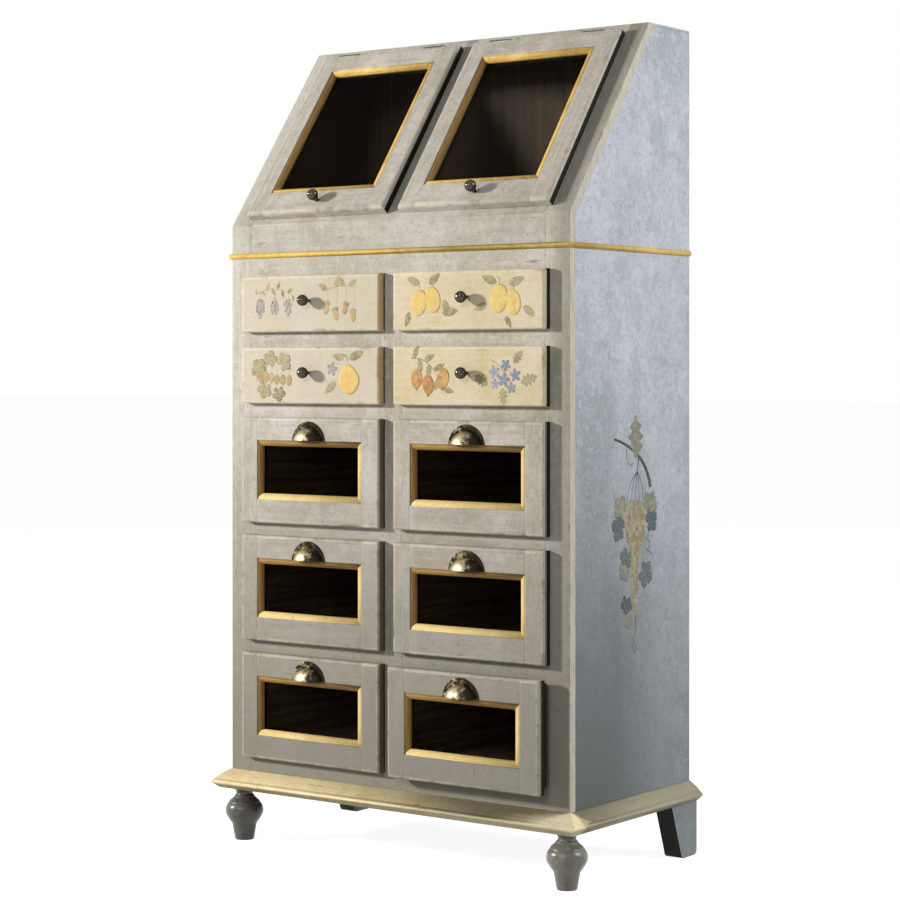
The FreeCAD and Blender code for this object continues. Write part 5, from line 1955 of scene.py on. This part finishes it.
@dataclass
class CupPull:
    """A hollow half dome of brass on a thin arched flange."""

    name: str
    body: str
    finishes: Finishes
    flange_width: float = 8 * MM
    crown_drop: float = 6 * MM
    flange_thickness: float = 1.4 * MM
    wall: float = 1.6 * MM
    bead: float = 0.8 * MM
    nail: float = 3.4 * MM
    # how much of the painted reflection the flange takes
    flange_reflection: float = 0.45
    nail_angles: tuple[float, ...] = (22.0, 90.0, 158.0)
    steps: int = 40

    def build(self) -> None:
        """Build the pull in place of its CAD node."""
        low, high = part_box(f"{self.name}_cup_pull")
        drop = 4 * MM
        flange = (high.z - low.z) + drop
        centre = Vector(((low.x + high.x) / 2, high.y, low.z - drop))
        radius = flange - self.flange_width
        depth = high.y - low.y
        piece = Joiner(f"{self.name}_cup_pull_brass", seed=3)
        inner = radius - self.crown_drop - self.wall
        plate = self.plate(centre, inner, flange, low.z)
        for part in (self.dome(centre, radius, depth, low.z), plate):
            part.verts.index_update()
            # Painted reflection: the pull is bright at the left and dark at the right.
            wear = {vertex.index: self.painted_reflection((vertex.co.x - centre.x) / radius) for vertex in part.verts}
            if part is plate:
                wear = {index: self.flange_reflection * value for index, value in wear.items()}
            piece.add(part, wear, Axis.X)
        piece.finish(self.body, self.finishes.brass, "brass", [f"{self.name}_cup_pull"])
        self.nails(centre, (radius + flange) / 2)

    @staticmethod
    def painted_reflection(across: float) -> float:
        """A painted reflection: how bright the metal is, most at the left and least at the right.

        Args:
            across: The place across the pull, from -1 to 1.

        Returns:
            The wear.
        """
        return min(1.0, max(0.0, 0.75 - 1.0 * across))

    def nails(self, centre: Vector, radius: float) -> None:
        """The small round-headed nails through the flange.

        Args:
            centre: The middle of the pull's full circle.
            radius: The radius that the nails lie on.
        """
        marks = []
        for angle in self.nail_angles:
            turn = math.radians(angle)
            marks.append(Mark(Shape.NAIL, radius * math.cos(turn), radius * math.sin(turn), self.nail))
        place = Matrix.Translation(centre - Vector((0, self.flange_thickness, 0)))
        self.finishes.scatter.build(f"{self.name}_cup_pull_nails", self.body, marks, place, self.finishes.brass, "brass", 0.9 * MM)

    def dome(self, centre: Vector, radius: float, depth: float, floor: float) -> bmesh.types.BMesh:
        """The hollow half dome.

        Args:
            centre: The middle of the full circle, on the front's face.
            radius: The dome's radius on the face.
            depth: How far it stands out.
            floor: The height of its lower edge.

        Returns:
            The dome as a closed shell.
        """
        part = bmesh.new()
        lift = floor - centre.z
        layers = []
        for inset in (0.0, self.wall):
            wide, deep, tall = radius - inset, depth - inset, radius - self.crown_drop - inset
            first = math.asin(lift / tall)
            rows = []
            for row in range(self.steps // 2):
                angle = first + (math.pi / 2 - first) * row / (self.steps // 2)
                ring = []
                for step in range(self.steps + 1):
                    turn = math.pi * step / self.steps
                    level = math.cos(angle)
                    place = Vector((wide * level * math.cos(turn), -deep * level * math.sin(turn), tall * math.sin(angle)))
                    ring.append(part.verts.new(centre + place))
                rows.append(ring)
            crown = part.verts.new(centre + Vector((0, 0, tall)))
            layers.append((rows, crown))
        for (rows, crown), outside in zip(layers, (True, False)):
            for lower, upper in zip(rows, rows[1:]):
                for step in range(self.steps):
                    corners = [lower[step], lower[step + 1], upper[step + 1], upper[step]]
                    part.faces.new(corners[::-1] if outside else corners)
            for step in range(self.steps):
                corners = [rows[-1][step], rows[-1][step + 1], crown]
                part.faces.new(corners[::-1] if outside else corners)
        (outer, outer_crown), (inner, inner_crown) = layers
        for step in range(self.steps):
            part.faces.new([outer[0][step], outer[0][step + 1], inner[0][step + 1], inner[0][step]])
        for end in (0, self.steps):
            for row in range(len(outer) - 1):
                part.faces.new([outer[row][end], outer[row + 1][end], inner[row + 1][end], inner[row][end]])
            part.faces.new([outer[-1][end], outer_crown, inner_crown, inner[-1][end]])
        bmesh.ops.recalc_face_normals(part, faces=part.faces)
        return part

    def plate(self, centre: Vector, inner: float, outer: float, floor: float) -> bmesh.types.BMesh:
        """The arched flange with a raised bead along its edge.

        Args:
            centre: The middle of the full circle, on the front's face.
            inner: The flange's inner radius.
            outer: Its outer radius.
            floor: The height of its lower ends.

        Returns:
            The flange as a closed band.
        """
        part = bmesh.new()
        thick, bead = self.flange_thickness, self.bead
        section = [(inner, 0.0), (inner, thick), (outer - 3 * bead, thick)]
        section += [(outer - bead * (1.5 + 1.5 * math.cos(math.pi * (1 - k / 6))) , thick + bead * math.sin(math.pi * k / 6)) for k in range(1, 6)]
        section += [(outer, thick * 0.8), (outer, 0.0)]
        rings = []
        for step in range(self.steps + 1):
            ring = []
            for radius, height in section:
                first = math.asin((floor - centre.z) / radius)
                turn = first + (math.pi - 2 * first) * step / self.steps
                ring.append(part.verts.new(centre + Vector((radius * math.cos(turn), -height, radius * math.sin(turn)))))
            rings.append(ring)
        count = len(section)
        for first, second in zip(rings, rings[1:]):
            for index in range(count):
                following = (index + 1) % count
                part.faces.new([first[index], first[following], second[following], second[index]])
        part.faces.new(rings[0])
        part.faces.new(rings[-1][::-1])
        bmesh.ops.recalc_face_normals(part, faces=part.faces)
        return part


@dataclass
class Knob:
    """A turned bronze knob: a ball that tapers into a thin neck."""

    name: str
    body: str
    finishes: Finishes
    stand: Stand = Stand()
    neck: float = 3.4 * MM
    meeting: float = 26.0

    def build(self) -> None:
        """Build the knob in place of its CAD node."""
        low, high = self.stand.box(f"{self.name}_knob")
        base = Vector(((low.x + high.x) / 2, high.y, (low.z + high.z) / 2))
        ball = (high.x - low.x) / 2
        reach = high.y - low.y
        middle = reach - ball
        meet = math.radians(self.meeting)
        tangent = (ball * math.cos(meet), middle - ball * math.sin(meet))
        neck = [(self.neck, 0.0), (1.15 * self.neck, 0.10 * middle), (1.95 * self.neck, 0.36 * middle)]
        outline = smooth([*neck, tangent], 5)[:-1]
        outline += arc((0.0, middle), (ball, ball), -self.meeting, 84, 24)
        outline.append((0.4 * MM, reach))
        piece = Joiner(f"{self.name}_knob_bronze", self.stand, seed=5)
        piece.turning(outline, base, Vector((0, -1, 0)), 48, lambda height: 0.9 if height > reach - ball else 0.1)
        piece.finish(self.body, self.finishes.bronze, "dark_bronze", [f"{self.name}_knob"])


@dataclass
class GlazedDrawer:
    """A drawer with a glazed front and a cup pull."""

    name: str
    finishes: Finishes
    seed: int

    def build(self) -> None:
        """Build every piece of the drawer."""
        front = f"{self.name}_front"
        GlazedFrame(self.name, self.name, front, self.finishes, seed=self.seed, round_over=6 * MM).build()
        DrawerBox(self.name, self.finishes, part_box(front)[1].y, self.seed + 3).build([f"{self.name}_box"])
        CupPull(self.name, self.name, self.finishes).build()


@dataclass
class PaintedDrawer:
    """A small drawer with a solid cream front and a knob."""

    name: str
    finishes: Finishes
    seed: int
    front_thickness: float
    side_tone: FaceTone
    round_over: float = 6.0 * MM

    def build(self) -> None:
        """Build the front, the box and the knob."""
        node = f"{self.name}_box"
        low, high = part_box(node)
        back = low.y + self.front_thickness

        def outer(start: Vector, end: Vector) -> float:
            """The rounding of the front's outer edges."""
            return self.round_over if max(abs(place.y - low.y) for place in (start, end)) < MM / 10 else 0.0

        def tone(normal: Vector, centre: Vector) -> FaceTone:
            """The front's sides take their side tone, and are painted black towards the case as shadow in the gap."""
            if abs(normal.x) < 0.99:
                return FaceTone.PAINTED
            return FaceTone.BLACK if centre.y > back - black_reach(self.name) else self.side_tone

        piece = Joiner(f"{self.name}_front_painted", seed=self.seed)
        piece.node(node, outer, tone, keep=lambda solid: solid.box()[0].y < back - MM)
        piece.finish(self.name, self.finishes.cream, "cream_paint", [node])
        DrawerBox(self.name, self.finishes, back, self.seed + 3).build([])
        Knob(self.name, self.name, self.finishes).build()
        centre = Matrix.Translation(((low.x + high.x) / 2, low.y, (low.z + high.z) / 2))
        Spray(self.name, self.name, centre, self.finishes, self.seed + 7).build(DRAWER_DESIGNS[self.name])


@dataclass
class Flap:
    """A glazed flap on the slope, with its knob and hinge leaves."""

    side: str
    finishes: Finishes
    seed: int

    def build(self) -> None:
        """Build every piece of the flap."""
        name = f"flap_{self.side}"
        stand = Stand.of_slope(f"{name}_frame")
        GlazedFrame(name, name, f"{name}_frame", self.finishes, stand, self.seed).build()
        Knob(name, name, self.finishes, stand).build()
        dress(f"{name}_hinge_leaves", self.finishes.hinge)


@dataclass(frozen=True)
class Lamp:
    """A square soft lamp; its power is in watts."""

    name: str
    place: tuple[float, float, float]
    size: float
    power: float
    colour: Colour

    def light(self, aim: Sequence[float]) -> None:
        """Set the lamp up.

        Args:
            aim: The point that it looks at.
        """
        data = bpy.data.lights.new(self.name, "AREA")
        data.shape = "SQUARE"
        data.size = self.size
        data.energy = self.power
        data.color = self.colour
        made = bpy.data.objects.new(self.name, data)
        bpy.context.scene.collection.objects.link(made)
        made.location = self.place
        made.rotation_mode = "QUATERNION"
        made.rotation_quaternion = (Vector(aim) - Vector(self.place)).to_track_quat("-Z", "Y")


@dataclass
class Studio:
    """Floor, lamps, world and camera."""

    # The camera stands level, to the front right, at eye height
    camera_place: tuple[float, float, float] = (3.032, -4.1265, 1.051)
    camera_yaw: float = 0.633
    lens: float = 93.8
    shift_up: float = -0.0923
    floor_reach: float = 60.0
    lamps: tuple[Lamp, ...] = (
        Lamp("key_lamp", (-4.1, -3.3, 2.2), 0.5, 290.0, (1.0, 0.96, 0.90)),
        Lamp("front_fill", (0.9, -6.0, 3.3), 1.6, 85.0, (1.0, 0.99, 0.96)),
        Lamp("side_fill", (4.6, 1.3, 3.2), 2.0, 185.0, (0.94, 0.96, 1.0)),
    )
    aim: tuple[float, float, float] = (0.0, -0.2, 0.95)
    ambient: float = 0.11

    def build(self) -> None:
        """Build the studio."""
        self.floor()
        for lamp in self.lamps:
            lamp.light(self.aim)
        self.world()
        self.camera()
        bpy.context.scene.view_settings.view_transform = "Standard"

    def floor(self) -> None:
        """A wide pale floor."""
        reach = self.floor_reach
        data = bpy.data.meshes.new("studio_floor")
        data.from_pydata([(-reach, -reach, 0), (reach, -reach, 0), (reach, reach, 0), (-reach, reach, 0)], [], [(0, 1, 2, 3)])
        data.materials.append(StudioFloor("studio_floor").make())
        made = bpy.data.objects.new("studio_floor", data)
        bpy.context.scene.collection.objects.link(made)

    def world(self) -> None:
        """A pale world that the camera, glass and metal see as white."""
        world = bpy.data.worlds.new("studio_world")
        bpy.context.scene.world = world
        world.use_nodes = True
        tree = Tree(world.node_tree)
        strength = tree.node("MapRange", Value=tree.seen(), To_Min=self.ambient, To_Max=1.0)
        sky = tree.node("Background", Color=(1.0, 1.0, 1.0), Strength=strength.outputs["Result"])
        tree.node("OutputWorld", Surface=sky.outputs[0])

    def camera(self) -> None:
        """The camera at the photograph's viewing angle."""
        data = bpy.data.cameras.new("photo_camera")
        data.sensor_width = 36.0
        data.lens = self.lens
        data.shift_y = self.shift_up
        data.clip_end = 4 * self.floor_reach
        made = bpy.data.objects.new("photo_camera", data)
        bpy.context.scene.collection.objects.link(made)
        made.location = self.camera_place
        made.rotation_euler = (math.pi / 2, 0.0, self.camera_yaw)
        bpy.context.scene.camera = made


def sub_assemblies(finishes: Finishes, bodies: Iterable[str]) -> list[Case | GlazedDrawer | PaintedDrawer | Flap]:
    """Every sub-assembly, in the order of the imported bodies.

    Args:
        finishes: The shared finishes.
        bodies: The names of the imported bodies.

    Returns:
        The sub-assemblies, ready to build.
    """
    glazed_low, glazed_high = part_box("glazed_bottom_left_front")
    thickness = glazed_high.y - glazed_low.y
    made: list[Case | GlazedDrawer | PaintedDrawer | Flap] = []
    for number, body in enumerate(bodies):
        seed = 100 + 10 * number
        if body.startswith("glazed"):
            made.append(GlazedDrawer(body, finishes, seed))
        elif body.startswith("painted"):
            tone = FaceTone.BROWN if body.endswith("left") else FaceTone.PAINTED
            made.append(PaintedDrawer(body, finishes, seed, thickness, tone))
        elif body.startswith("flap"):
            made.append(Flap(body.removeprefix("flap_"), finishes, seed))
        else:
            made.append(Case(finishes, body))
    return made


def main() -> None:
    """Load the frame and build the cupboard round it."""
    logging.basicConfig(level=logging.INFO, format="%(name)s: %(message)s")
    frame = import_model()
    finishes = Finishes()
    for assembly in sub_assemblies(finishes, frame["bodies"]):
        assembly.build()
    dress("flap_hinge_fixed_leaves", finishes.hinge)
    finishes.scatter.clear()
    Studio().build()
    bpy.context.view_layer.update()


if __name__ == "__main__":
    main()
